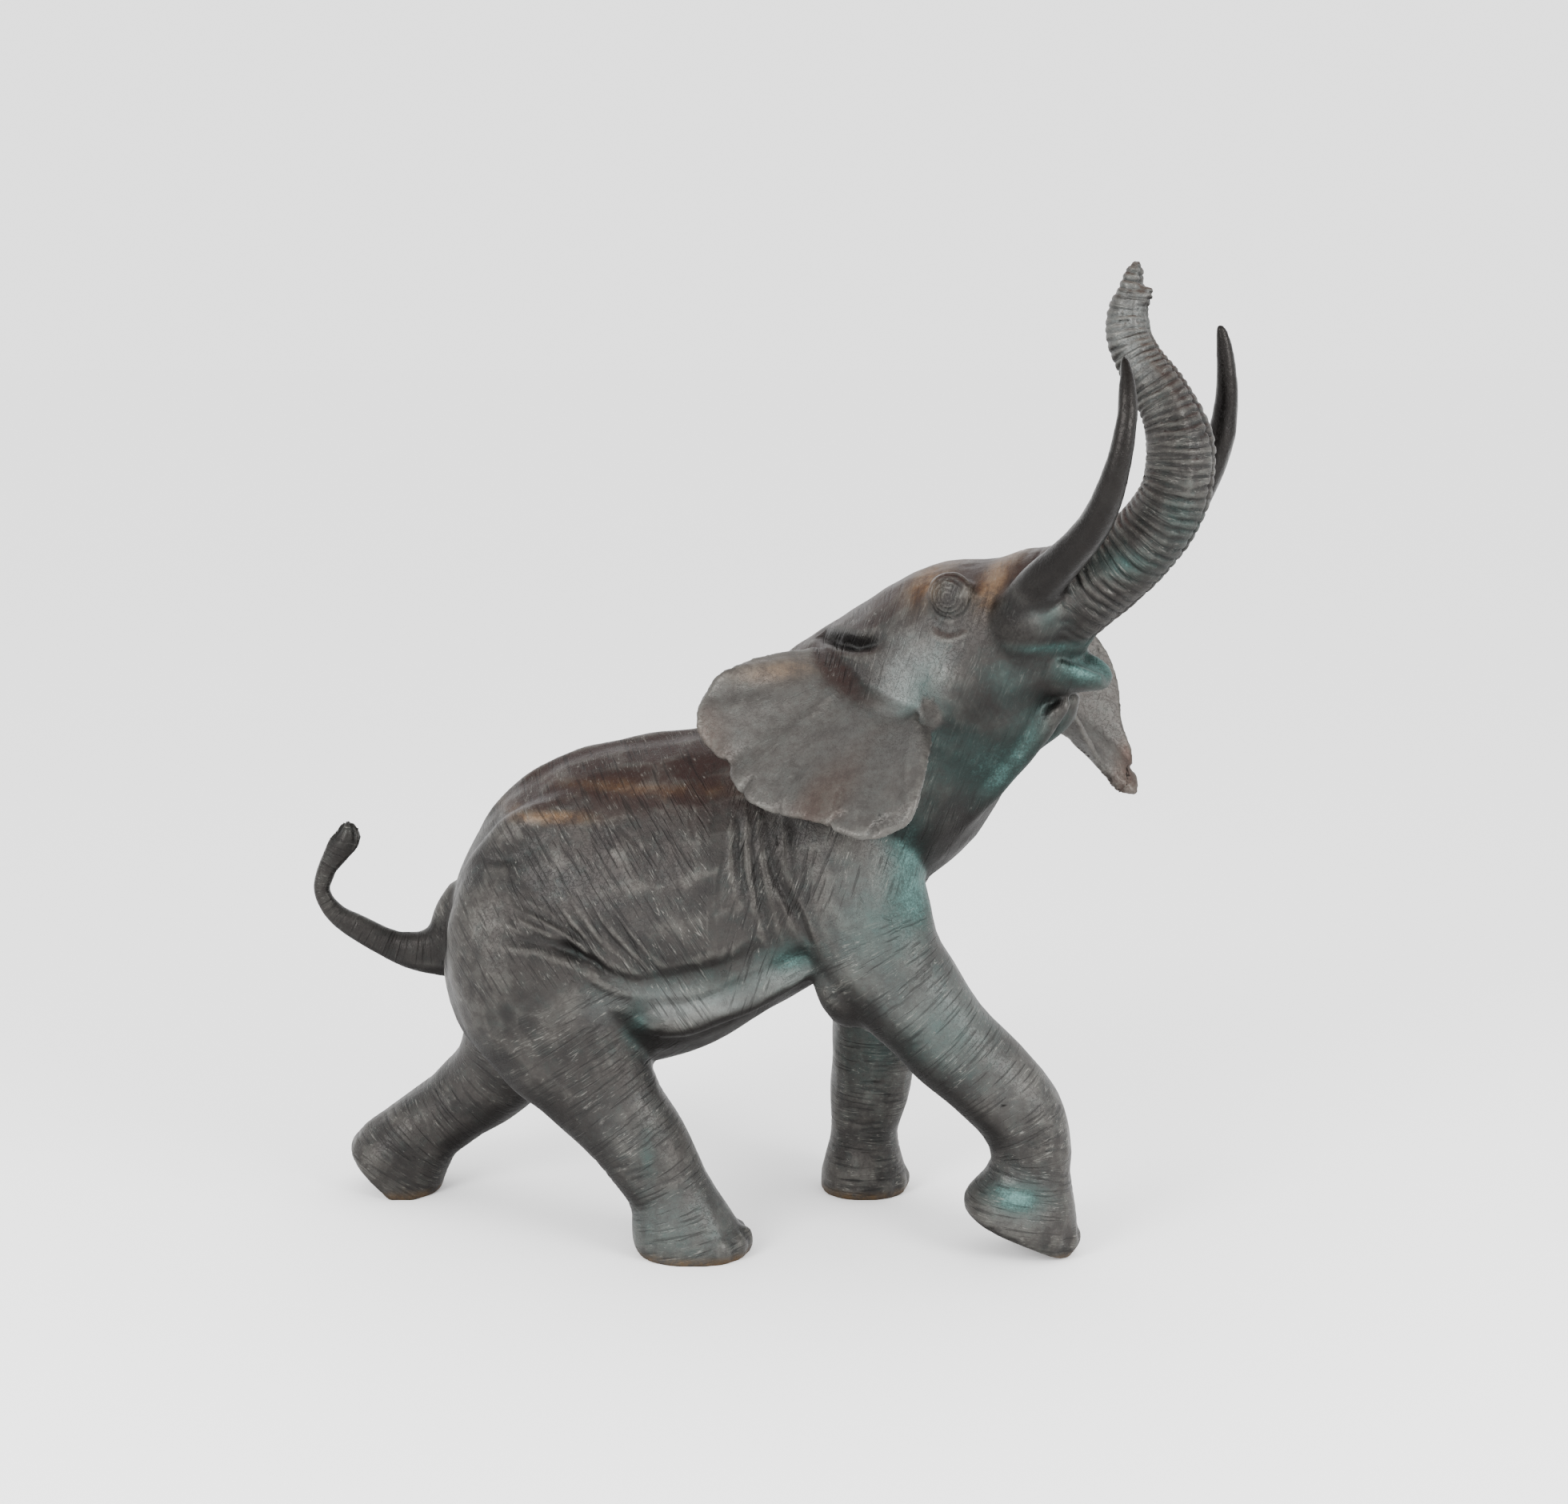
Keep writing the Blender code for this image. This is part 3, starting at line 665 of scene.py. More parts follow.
BELLY_HOLLOW = ((-16.8, 30.6), (-12.0, 29.8), (-6.5, 30.8), (-1.5, 32.8))

# The width and depth of each cut, and its lip where it isn't the usual one.
HAUNCH_CUT = (0.007, 0.0044)
THIGH_CUT = (0.013, 0.010)
BELLY_CUT = (0.020, 0.007, 0.2)
SHOULDER_CUT = (0.010, 0.0075)

for rows in HAUNCH_CREASES:
    cut_both_sides(rows, *HAUNCH_CUT)
cut_both_sides(THIGH_CREASE, *THIGH_CUT)
cut_both_sides(BELLY_HOLLOW, *BELLY_CUT)
for rows in SHOULDER_FOLDS:
    cut_both_sides(rows, *SHOULDER_CUT)
print("deepest cut so far", round(float(relief.min()) * 1000, 1), "mm")

# %% [markdown]
# Between the large folds lie many small creases. A seeded random draw places them, and each leans the way
# that the skin is pulled there: slanting over the flank and almost upright towards the shoulder.

# %% Finer creases over the flank
FLANK_CREASES = 70
FLANK_AHEAD = (-28, -3)
FLANK_UP = (31, 45)
CREASE_LEANS = ((-28, -1.05), (-12, -1.0), (-6, -1.75), (-3, -1.9))
CREASE_WIDTH = 0.0048
CREASE_DEPTHS = (0.0004, 0.0010)
UNEVENNESS = 0.10

chance = np.random.default_rng(7)
for _ in range(FLANK_CREASES):
    middle_ahead = chance.uniform(*FLANK_AHEAD)
    middle_up = chance.uniform(*FLANK_UP)
    lean = looked_up(middle_ahead, CREASE_LEANS) + chance.normal() * UNEVENNESS
    half = chance.uniform(1.0, 2.2)
    step = np.array((math.cos(lean), math.sin(lean))) * half
    middle = np.array((middle_ahead, middle_up))
    bend = np.array((step[1], -step[0])) * chance.normal() * UNEVENNESS
    rows = (middle - step, middle + bend, middle + step)
    cut_both_sides(rows, CREASE_WIDTH, chance.uniform(*CREASE_DEPTHS))
print(FLANK_CREASES, "small creases on each flank")

# %% [markdown]
# The head carries the finest work. Rings of loose skin lie round each eye, a pouch hangs under it, and a
# deep slot behind the jaw is where the ear folds onto the neck. The cheek is combed with fine slanting lines.

# %% Eyes, slots and cheeks
EYE_MIDDLE = (17.2, 68.2)
EYE_RINGS = ((0.30, 0.0022), (0.75, 0.0024), (1.20, 0.0024), (1.65, 0.0024), (2.10, 0.0026))
EYE_POUCH = ((15.4, 65.6), (17.4, 64.9), (19.4, 65.8))
SOCKET_RADIUS = 2.55
SOCKET_SQUASH = 0.95
EAR_SLOT = ((0.6, 62.9), (3.6, 63.0), (6.6, 62.8), (9.8, 63.2))
CHEEK_LINES = 16
SOCKET_CUT = (0.010, 0.0018)
EYE_RING_WIDTH = 0.0034
POUCH_CUT = (0.010, 0.0045)
SLOT_CUT = (0.014, 0.024, 0.1)
CHEEK_CUT = (0.0042, 0.0007)
turns = np.linspace(0, 2 * math.pi, 30)


def ring_round(side, radius, squash=1.0):
    """Dots round an eye, flatter where squash is under 1. Half a turn more closes the ring."""
    ahead, up = EYE_MIDDLE
    rows = [(ahead + radius * math.cos(turn), up + radius * squash * math.sin(turn)) for turn in turns]
    ring = drawn(rows, side, from_head, HEAD_AXES)
    return np.vstack((ring, ring[: len(ring) // 2]))


for side in (-1, 1):
    cut(ring_round(side, SOCKET_RADIUS, SOCKET_SQUASH), *SOCKET_CUT)
    for radius, depth in EYE_RINGS:
        cut(ring_round(side, radius), EYE_RING_WIDTH, depth)
cut_both_cheeks(EYE_POUCH, *POUCH_CUT)
cut_both_cheeks(EAR_SLOT, *SLOT_CUT)
for k in range(CHEEK_LINES):
    start = np.array((12.5 + 0.55 * k, 62.4 - 0.05 * k))
    cut_both_cheeks((start, start + (2.0, -3.0), start + (3.2, -6.0)), *CHEEK_CUT)
print("deepest cut so far", round(float(relief.min()) * 1000, 1), "mm")

# %% [markdown]
# The trunk is ringed from end to end. Each ring is a soft bulge between two narrow grooves, wide at the
# base and close together at the tip. Underneath, the trunk is flat between two ridges, and a groove down its
# middle breaks the rings in two.

# %% Rings of the trunk
RING_SPACING = ((0.0, 0.0200), (0.25, 0.0180), (0.6, 0.0145), (1.0, 0.0110))
RING_DEPTH = 0.0038
MIDLINE_WIDTH = 0.005
MIDLINE_DEPTH = 0.0032
RIDGE_ANGLE = math.radians(52)
RIDGE_WIDTH = 0.16  # radians
RIDGE_HEIGHT = 0.0030


def groove_between(phase, sharpness):
    """1 in each groove and 0 on each bulge, once for every whole number of phase."""
    return (0.5 + 0.5 * np.cos(2 * math.pi * phase)) ** sharpness


def phase_along(distances, spacing_rows):
    """How many rings lie before each distance, where their spacing changes along the way."""
    fine = np.linspace(-0.2, 1.6, 1800)
    counts = np.cumsum(np.full(len(fine), fine[1] - fine[0]) / looked_up(fine, spacing_rows))
    return np.interp(distances, fine, counts)


head_left = HEAD_AXES[1]
trunk_side = parts["trunk_offset"] @ head_left
trunk_under = (parts["trunk_offset"] * np.cross(parts["trunk_direction"], -head_left)).sum(axis=1)
trunk_angle = np.arctan2(trunk_side, trunk_under)
under = fade(np.abs(trunk_angle), RIDGE_ANGLE * 1.15, RIDGE_ANGLE * 0.85)
split = np.where(trunk_side > 0, 0.33, 0.0) * under
waver = 0.22 * wander(points, 0.05, 11)
ring_phase = phase_along(parts["trunk_along"], RING_SPACING) + waver + split
ring_strength = np.clip(0.75 + 0.45 * wander(points, 0.03, 12), 0.15, 1.3)
relief -= parts["trunk"] * RING_DEPTH * ring_strength * groove_between(ring_phase, 3)
relief -= parts["trunk"] * MIDLINE_DEPTH * np.exp(-((trunk_side / MIDLINE_WIDTH) ** 2)) * (trunk_under > 0)
ridge = np.exp(-(((np.abs(trunk_angle) - RIDGE_ANGLE) / RIDGE_WIDTH) ** 2))
ridge = parts["trunk"] * RIDGE_HEIGHT * ridge * fade(parts["trunk_along"], 0.25, 0.4)
relief += ridge * fade(parts["trunk_along"], 1.0, 0.85)
print("rings on the trunk:", int(np.ptp(ring_phase[parts["trunk"] > 0.9])))

# %% [markdown]
# Shallower wrinkles ring the legs below the elbow and the knee, broken up so that few run right round. The
# tail ends in a tuft of coarse strands that twist a little.

# %% Wrinkles round the legs and the tail
LEG_WRINKLES = ((0.0, 0.024), (0.4, 0.019), (0.8, 0.015))
LEG_DEPTH = 0.0013
TUFT_START = 0.42
TUFT_DEPTH = 0.0028
STRANDS = 7
STRAND_TWIST = 25

leg_phase = phase_along(parts["leg_along"], LEG_WRINKLES) + 0.8 * wander(points, 0.07, 21)
leg_strength = np.clip(wander(points, 0.03, 22), 0.0, 1.4) * fade(parts["leg_along"], 0.25, 0.60)
relief -= parts["leg"] * LEG_DEPTH * leg_strength * groove_between(leg_phase, 4)
tuft = parts["tail"] * fade(parts["tail_along"], TUFT_START, TUFT_START + 0.06)
tail_turn = np.arctan2(parts["tail_offset"][:, 1], parts["tail_offset"][:, 2])
relief += tuft * TUFT_DEPTH * np.cos(STRANDS * tail_turn + STRAND_TWIST * parts["tail_along"])
print("points on the legs:", int((parts["leg"] > 0.5).sum()))

# %% [markdown]
# Ears are thin sheets. If both faces were carved in, they would thin to paper, so an ear's folds move both
# faces the same way. Rays run from the root to the rim, and the rim is nicked and torn.

# %% Folds and nicks of the ears
EAR_RAYS = (3.0, 7.0, 13.0)
RAY_DEPTH = 0.0030
MAIN_FOLD_DEPTH = 0.006
SMALL_NICK = 0.006
WIDE_NICK = 0.004

shift = np.zeros_like(points)
along_rim, down_ear = parts["ear_shares"].T
bend = np.zeros(len(points))
for k, rays in enumerate(EAR_RAYS):
    sway = 0.03 * wander(points, 0.15, 31 + k)
    bend += (RAY_DEPTH / (1 + 1.2 * k)) * np.sin(2 * math.pi * rays * (along_rim + sway) + 1.7 * k)
bend *= fade(down_ear, 0.30, 0.95)
main_fold = np.exp(-(((along_rim - 0.42 - 0.10 * down_ear) / 0.03) ** 2)) * fade(down_ear, 0.75, 0.35)
bend -= MAIN_FOLD_DEPTH * main_fold
shift += parts["ear_out"] * (parts["ear"] * bend)[:, None]
head_middle = from_head(((9.0, 0.0, 60.0),))[0]
inwards = head_middle - points
inwards /= np.linalg.norm(inwards, axis=1)[:, None]
nick = np.clip(wander(points, 0.022, 41), 0, 1.5) ** 2 * SMALL_NICK
nick = nick + np.clip(wander(points, 0.05, 42), 0, 1.5) * WIDE_NICK
shift += inwards * (parts["ear"] * nick * fade(down_ear, 0.86, 1.0))[:, None]
print("ears bend by up to", round(float(np.abs(bend).max()) * 1000, 1), "mm")

# %% [markdown]
# The whole casting also has a slow unevenness from the modeller's thumbs, and the soles stay flat. The
# points are moved, the mesh is thinned where it is flat, and all of it is kept inside the solid's box.

# %% Push the clay
THUMB_MARKS = 0.0012
MOST_TRIANGLES = 192000

quiet = np.maximum(parts["tusk"], parts["ear"])
relief += THUMB_MARKS * (1 - quiet) * wander(points, 0.05, 51)
relief *= 1 - 0.9 * np.maximum(parts["tusk"] * 0.8, parts["ear"])
relief *= fade(points[:, 2], 0.0, 0.02)
box = (np.array(cad_low), np.array(cad_high))
put(elephant.data, np.clip(points + normals * relief[:, None] + shift, *box))
thin = elephant.modifiers.new("thin", "DECIMATE")
thin.ratio = min(1.0, MOST_TRIANGLES / (2 * len(elephant.data.polygons)))
set_mesh(elephant, mesh_of(elephant))
put(elephant.data, np.clip(places(elephant.data), *box))
elephant.data.name = "elephant_bronze"
elephant.data.shade_smooth()
print("triangles:", sum(len(face.vertices) - 2 for face in elephant.data.polygons))

# %% [markdown]
# Patina is chemistry and weather. Rain leaves green salts in hollows and where water runs, and the tops dry
# out brown. Hands and wind polish what stands proud. So the mesh carries a few measured shares that the
# material mixes by. The first two say how hollow or raised a spot is, in the small and in the large.

# %% Hollow and raised places
NARROW_ROUNDS = 4
NARROW_HOLLOW = 0.0016
WIDE_ROUNDS = 60
WIDE_HOLLOW = 0.012

points = places(elephant.data)
normals = outwards(elephant.data)
links = neighbours(elephant.data)
parts = parts_of(points)
body = on_body(points)
head = on_head(points)


def hollowness(rounds):
    """How many metres each point lies under the mean of this many rings of neighbours."""
    mean = points
    for _ in range(rounds):
        mean = mean_of_neighbours(mean, links)
    return ((mean - points) * normals).sum(axis=1)


hollow = np.clip(0.5 + hollowness(NARROW_ROUNDS) / NARROW_HOLLOW * 0.5, 0, 1)
basin = np.clip(0.5 + hollowness(WIDE_ROUNDS) / WIDE_HOLLOW * 0.5, 0, 1)
print("hollow", round(float(hollow.mean()), 2), "basin", round(float(basin.mean()), 2))

# %% [markdown]
# The others say where each colour of the patina lies, and where shade and highlights are painted into the
# colour: the shade patches and the undersides are painted shade, and the pale patches are partly painted
# highlights. They are painted on in soft patches, on the body or on the head. A patch is a middle and two
# radii, ahead and up in percent, and how strong it is.

# %% Where each colour lies
GREEN_ON_BODY = (
    ((12.4, 43.0), (2.4, 4.4), 0.95),
    ((13.6, 37.4), (2.6, 3.4), 0.75),
    ((0.6, 31.6), (2.4, 1.6), 0.95),
    ((-14.6, 24.6), (1.4, 2.8), 0.80),
    ((9.0, 35.0), (4.0, 5.0), 0.55),
    ((16.0, 24.5), (5.0, 5.0), 0.48),
    ((23.4, 7.0), (2.7, 1.5), 1.35),
    ((-13.7, 11.5), (0.8, 2.6), 0.5),
    ((9.5, 18.0), (4.0, 6.0), 0.40),
    ((-6.0, 29.0), (9.0, 2.2), 0.35),
    ((-12.0, 3.5), (6.0, 3.0), 0.35),
)
GREEN_ON_HEAD = (
    ((29.6, 61.4), (3.2, 2.0), 1.20),
    ((26.0, 63.6), (2.6, 0.6), 0.80),
    ((22.6, 60.2), (1.5, 2.2), 0.60),
    ((27.4, 66.8), (1.0, 1.6), 0.60),
    ((24.2, 55.0), (1.5, 3.6), 0.60),
    ((22.6, 52.4), (1.5, 3.0), 0.45),
    ((20.6, 49.6), (2.2, 4.6), 0.70),
    ((17.6, 52.0), (3.6, 5.0), 0.50),
    ((15.2, 58.6), (2.4, 4.0), 0.50),
    ((33.6, 71.8), (3.4, 1.6), 0.65),
    ((38.6, 76.0), (1.8, 2.8), 0.45),
)
# Pale patina and painted highlights, such as the lit band along the belly.
PALE_AND_HIGHLIGHT_ON_BODY = (
    ((-9.0, 27.0), (8.0, 1.8), 1.0),
    ((0.0, 29.8), (3.5, 1.8), 0.9),
    ((9.0, 36.0), (4.5, 6.5), 0.46),
    ((16.0, 25.5), (6.0, 5.0), 0.52),
    ((23.5, 18.0), (4.0, 4.0), 0.20),
    ((-15.0, 13.0), (4.0, 5.0), 0.15),
    ((-11.0, 4.0), (6.0, 4.0), 0.40),
    ((23.4, 6.6), (3.0, 2.6), 0.6),
)
# Pale patina and painted highlights on the head, such as the cheek.
PALE_AND_HIGHLIGHT_ON_HEAD = (
    ((14.2, 59.2), (3.0, 4.6), 1.0),
    ((12.0, 54.6), (2.0, 3.0), 0.7),
    ((26.6, 66.8), (1.1, 1.6), 0.4),
    ((32.4, 94.0), (3.6, 7.0), 0.50),
    ((20.8, 70.4), (1.4, 2.2), 0.5),
)
# Patches of painted shade, such as under the ear, behind the shoulder, above the belly fold and at the feet.
SHADE_ON_BODY = (
    ((1.2, 46.6), (3.6, 4.2), 0.70),
    ((-0.4, 38.0), (1.6, 6.0), 0.50),
    ((-9.0, 31.4), (7.0, 1.4), 0.40),
    ((3.0, 53.0), (5.0, 2.6), 0.70),
    ((-27.0, 30.0), (5.0, 7.5), 0.38),
    ((-41.5, 3.0), (6.0, 4.0), 0.45),
    ((24.8, 11.2), (2.4, 1.6), 0.50),
)
# Patches of painted shade on the head: the slot behind the jaw, the jaw and the mouth.
SHADE_ON_HEAD = (
    ((4.8, 62.9), (4.6, 0.9), 1.3),
    ((23.6, 66.0), (2.8, 2.8), 0.90),
    ((20.6, 57.6), (3.0, 2.8), 0.80),
    ((25.6, 58.6), (2.6, 1.6), 0.75),
    ((27.8, 64.2), (2.2, 1.2), 1.00),
)
RUSSET_ON_BODY = (((-16.0, 43.5), (12.0, 5.0), 1.0),)
OCHRE_ON_BODY = (((-24.0, 45.0), (4.0, 0.5), 0.6), ((-14.0, 47.9), (8.0, 0.4), 0.35))
OCHRE_ON_HEAD = (((13.2, 69.2), (2.2, 1.7), 0.8), ((20.8, 70.2), (1.3, 2.4), 1.1))
OCHRE_ON_EAR = (((1.4, 60.6), (2.6, 0.9), 0.6),)


def patches(rows, places_on):
    """The shares of a list of soft patches, added up."""
    ahead, _, up = places_on.T
    total = np.zeros(len(ahead))
    for (middle_ahead, middle_up), (long, tall), strength in rows:
        total += strength * np.exp(-(((ahead - middle_ahead) / long) ** 2) - ((up - middle_up) / tall) ** 2)
    return total


on_front = fade(head[:, 0], 8.0, 14.0) * fade(head[:, 2], 44.0, 50.0)
below_head = 1 - fade(head[:, 2], 52.0, 57.0)
not_ear = 1 - parts["ear"]
not_tusk = 1 - parts["tusk"]
green = patches(GREEN_ON_BODY, body) * below_head
green += patches(GREEN_ON_HEAD, head) * not_tusk
green = green * not_ear + 0.15 * parts["tail"] * fade(parts["tail_along"], 0.35, 0.5)
upwards = fade(normals[:, 2], 0.15, 0.85)
russet = upwards * fade(body[:, 2], 40.0, 48.0) * fade(body[:, 0], 12.0, 4.0)
russet = np.maximum(russet, 0.30 * patches(RUSSET_ON_BODY, body))
russet = np.maximum(russet, upwards * fade(head[:, 0], 2.0, 8.0) * fade(head[:, 2], 58.0, 63.0))
russet_on_ear = 0.30 + 0.5 * fade(wander(points, 0.10, 61), 0.1, 1.0)
russet = np.maximum(russet * not_ear, parts["ear"] * russet_on_ear)
ochre = patches(OCHRE_ON_HEAD, head)
ochre += patches(OCHRE_ON_BODY, body)
ochre += parts["ear"] * patches(OCHRE_ON_EAR, head)
# Pale weathering and painted highlights, kept off faces that look down.
pale_and_painted_highlight = patches(PALE_AND_HIGHLIGHT_ON_BODY, body) * below_head
pale_and_painted_highlight += patches(PALE_AND_HIGHLIGHT_ON_HEAD, head) * not_tusk
pale_and_painted_highlight = np.maximum(pale_and_painted_highlight * not_ear * fade(-normals[:, 2], 0.5, 0.1), 0.36 * parts["ear"])
# Undersides are painted dark as shade.
underside = fade(-normals[:, 2], 0.05, 0.55) * not_ear * not_tusk
# Dark is the tusks' and the tail's own tone, and painted shade on the undersides and in the shade patches.
dark_tone_and_painted_shade = np.maximum(parts["tusk"], parts["tail"] * 0.7)
dark_tone_and_painted_shade = np.maximum(dark_tone_and_painted_shade, underside * (1 - 0.4 * on_front) * fade(points[:, 2], 0.02, 0.08))
dark_tone_and_painted_shade = np.maximum(dark_tone_and_painted_shade, patches(SHADE_ON_BODY, body) * not_ear * fade(head[:, 0], 14.0, 10.0))
dark_tone_and_painted_shade = np.maximum(dark_tone_and_painted_shade, patches(SHADE_ON_HEAD, head) * not_ear)
lip_green = np.clip(patches(GREEN_ON_HEAD[:2], head), 0, 1)
dark_tone_and_painted_shade *= 1 - 0.8 * lip_green * not_tusk
dirt = fade(points[:, 2], 0.022, 0.004)
print("green", round(float(green.mean()), 3), "pale_and_painted_highlight", round(float(pale_and_painted_highlight.mean()), 3))

# %% [markdown]
# The fine wrinkles are thinner than the mesh, so they are left to the material. It reads them from a grain:
# the first number runs across the wrinkles and the other two along them, all in metres. Where two grains
# meet, and where the skin is smooth, a share fades the wrinkles out.

# %% Grain of the skin
FLANK_LEAN = math.radians(-57)
FRONT_LEAN = math.radians(-108)
LEAN_CHANGES = -6.5  # percent ahead
EAR_GRAIN = (0.9, 0.3)  # metres along an ear's rim and from its root to its rim
DIAGONALS = (np.array((0.7, 0.7, 0.0)), np.array((0.7, -0.7, 0.0)))


def off_seam(belongs):
    """0 along the seam where a part begins, and 1 away from it."""
    return 1 - np.exp(-(((belongs - 0.5) / 0.22) ** 2))


grain = np.zeros((len(points), 3))
lean = np.where(body[:, 0] < LEAN_CHANGES, FLANK_LEAN, FRONT_LEAN)
grain[:, 0] = np.sin(lean) * points[:, 0] - np.cos(lean) * points[:, 2]
grain[:, 1] = np.cos(lean) * points[:, 0] + np.sin(lean) * points[:, 2]
grain[:, 2] = points[:, 1]
grain_share = fade(np.abs(body[:, 0] - LEAN_CHANGES), 0.2, 1.6)
for name in ("leg", "trunk", "tail"):
    mine = parts[name] > 0.5
    grain[mine, 0] = parts[f"{name}_along"][mine]
    for column, diagonal in enumerate(DIAGONALS, start=1):
        grain[mine, column] = parts[f"{name}_offset"][mine] @ diagonal
    grain_share *= off_seam(parts[name])
mine = parts["ear"] > 0.5
grain[mine, :2] = parts["ear_shares"][mine] * EAR_GRAIN
grain_share *= 1 - 0.75 * parts["ear"]
grain_share *= 1 - 0.6 * fade(head[:, 0], 6.0, 12.0) * fade(head[:, 2], 44.0, 50.0) * (1 - parts["trunk"])
grain_share *= off_seam(parts["ear"]) * not_tusk
print("grain covers", round(float(grain_share.mean()), 2), "of the skin")

# %% [markdown]
# All of these are written on the mesh, one number or one vector for each point, where the material can read
# them by name.

# %% Write the shares on the mesh


def carry(name, values):
    """Puts a share on every point of the mesh."""
    kind = "FLOAT" if values.ndim == 1 else "FLOAT_VECTOR"
    attribute = elephant.data.attributes.new(name, kind, "POINT")
    attribute.data.foreach_set("value" if values.ndim == 1 else "vector", values.ravel())


for name, values in (
    ("hollow", hollow),
    ("basin", basin),
    ("green", np.clip(green, 0, 1.5)),
    ("russet", np.clip(russet, 0, 1)),
    ("ochre", np.clip(ochre, 0, 1)),
    ("pale_and_painted_highlight", np.clip(pale_and_painted_highlight, 0, 1)),
    ("dark_tone_and_painted_shade", np.clip(dark_tone_and_painted_shade, 0, 1)),
    ("underside", underside),
    ("dirt", dirt),
    ("grain", grain),
    ("grain_share", np.clip(grain_share, 0, 1)),
):
    carry(name, values)
print("shares:", len(elephant.data.attributes))

# %% [markdown]
# Bronze seldom looks like metal once it has stood outside. Under the patina it is a warm, half-metallic
# dark grey with a wide soft gloss. Colours are written as the hex values one would read off a screen, and
# one function turns them to the linear numbers that the shader needs. One more adds a node with its settings.

# %% Colour and node helpers


def colour(hex_value):
    """An sRGB hex colour as linear numbers."""
    linear = []
    for k in (0, 2, 4):
        level = int(hex_value[k : k + 2], 16) / 255
        linear.append(level / 12.92 if level <= 0.04045 else ((level + 0.055) / 1.055) ** 2.4)
    return (*linear, 1.0)


def node(tree, kind, values=None, **settings):
    """Adds a node. Its inputs take values, by name or number, or the outputs of other nodes."""
    made = tree.nodes.new(kind)
    for name, setting in settings.items():
        setattr(made, name, setting)
    for key, value in (values or {}).items():
        if isinstance(value, bpy.types.NodeSocket):
            tree.links.new(value, made.inputs[key])
        else:
            made.inputs[key].default_value = value
    return made


print("base colour", [round(level, 3) for level in colour("5a5654")])

# %% [markdown]
# The patinated bronze is built from the ground up: a mottled brown-grey ground, brown on the back, ochre
# where the old varnish shows, dark in the hollows, pale where it has dried and worn and where highlights are
# painted, and green where the shares allow it and a noise breaks them up. Over that lie the fine wrinkles,
# dark in the groove and with a painted highlight on the ridge, the dark polish of the tusks, painted shade on
# the undersides and in the shade patches, and earth at the soles.

# %% Patinated bronze
WRINKLE_WIDTH = 0.006  # metres from one fine wrinkle to the next
WRINKLE_LENGTH = 0.075
SPECKLE = 0.004
CLOUD = 0.09

bronze = bpy.data.materials.new("weathered_cast_bronze")
bronze.use_nodes = True
tree = bronze.node_tree
shader = tree.nodes["Principled BSDF"]
place = node(tree, "ShaderNodeTexCoord").outputs["Object"]


def share(name):
    """Reads a share from the mesh."""
    return node(tree, "ShaderNodeAttribute", attribute_name=name).outputs["Fac"]


def noise(vector, size, detail=3.0, roughness=0.55):
    """Noise with lumps of this size in metres."""
    values = {"Vector": vector, "Scale": 1 / size, "Detail": detail, "Roughness": roughness}
    return node(tree, "ShaderNodeTexNoise", values).outputs["Fac"]


def ranged(value, low, high, to_low=0.0, to_high=1.0):
    """A value stretched from one range to another, smoothly and within it."""
    values = {"Value": value, 1: low, 2: high, 3: to_low, 4: to_high}
    return node(tree, "ShaderNodeMapRange", values, interpolation_type="SMOOTHSTEP").outputs["Result"]


def math_of(operation, first, second):
    """One sum with two values."""
    return node(tree, "ShaderNodeMath", {0: first, 1: second}, operation=operation).outputs[0]


def times(first, second):
    """One value times the other."""
    return math_of("MULTIPLY", first, second)


def plus(first, second):
    """One value plus the other."""
    return math_of("ADD", first, second)


def minus(first, second):
    """The first value less the second."""
    return math_of("SUBTRACT", first, second)


def mixed(factor, first, second, blend="MIX"):
    """One colour over another."""
    values = {"Factor": factor, 6: first, 7: second}
    return node(tree, "ShaderNodeMix", values, data_type="RGBA", blend_type=blend).outputs[2]


grain_vector = node(tree, "ShaderNodeAttribute", attribute_name="grain").outputs["Vector"]
stretched = node(
    tree,
    "ShaderNodeMapping",
    {"Vector": grain_vector, "Scale": (1 / WRINKLE_WIDTH, 1 / WRINKLE_LENGTH, 1 / WRINKLE_LENGTH)},
).outputs["Vector"]
wrinkle_values = {"Vector": stretched, "Scale": 1.0, "Detail": 1.0, "Roughness": 0.5, "Distortion": 0.3}
wrinkles = node(tree, "ShaderNodeTexNoise", wrinkle_values).outputs["Fac"]
wrinkle_share = share("grain_share")
clouds = noise(place, CLOUD, 4.0, 0.6)
speckles = noise(place, SPECKLE, 4.0, 0.7)
patchy = noise(place, 0.026, 6.0, 0.72)
pores = noise(place, 0.011, 3.0, 0.6)


def line_at(value, width):
    """1 along the thin line where a noise crosses its middle, and 0 away from it."""
    away = math_of("ABSOLUTE", minus(value, 0.5), 0.0)
    return ranged(away, width, 0.0)


# Thin raised lines along the fine wrinkles, which the colour paints pale as a highlight.
fine_ridge_line = times(line_at(wrinkles, 0.022), wrinkle_share)
fine_ridge_line = times(fine_ridge_line, ranged(patchy, 0.42, 0.62))
groove = times(ranged(wrinkles, 0.44, 0.30), wrinkle_share)
cracks = times(line_at(pores, 0.03), 0.5)

ground = mixed(ranged(clouds, 0.35, 0.65), colour("1c1a19"), colour("2a2725"))
ground = mixed(ranged(speckles, 0.54, 0.78, 0.0, 0.40), ground, colour("423f3c"))
russet_share = share("russet")
ground = mixed(ranged(russet_share, 0.1, 1.0, 0.0, 0.9), ground, colour("281a17"))
ochre_amount = times(share("ochre"), ranged(patchy, 0.38, 0.60, 0.3, 0.9))
ground = mixed(ochre_amount, ground, colour("735434"))
basin_share = share("basin")
ground = mixed(ranged(share("hollow"), 0.60, 1.0, 0.0, 0.50), ground, colour("100f0e"))
ground = mixed(ranged(basin_share, 0.62, 1.0, 0.0, 0.60), ground, colour("131110"))
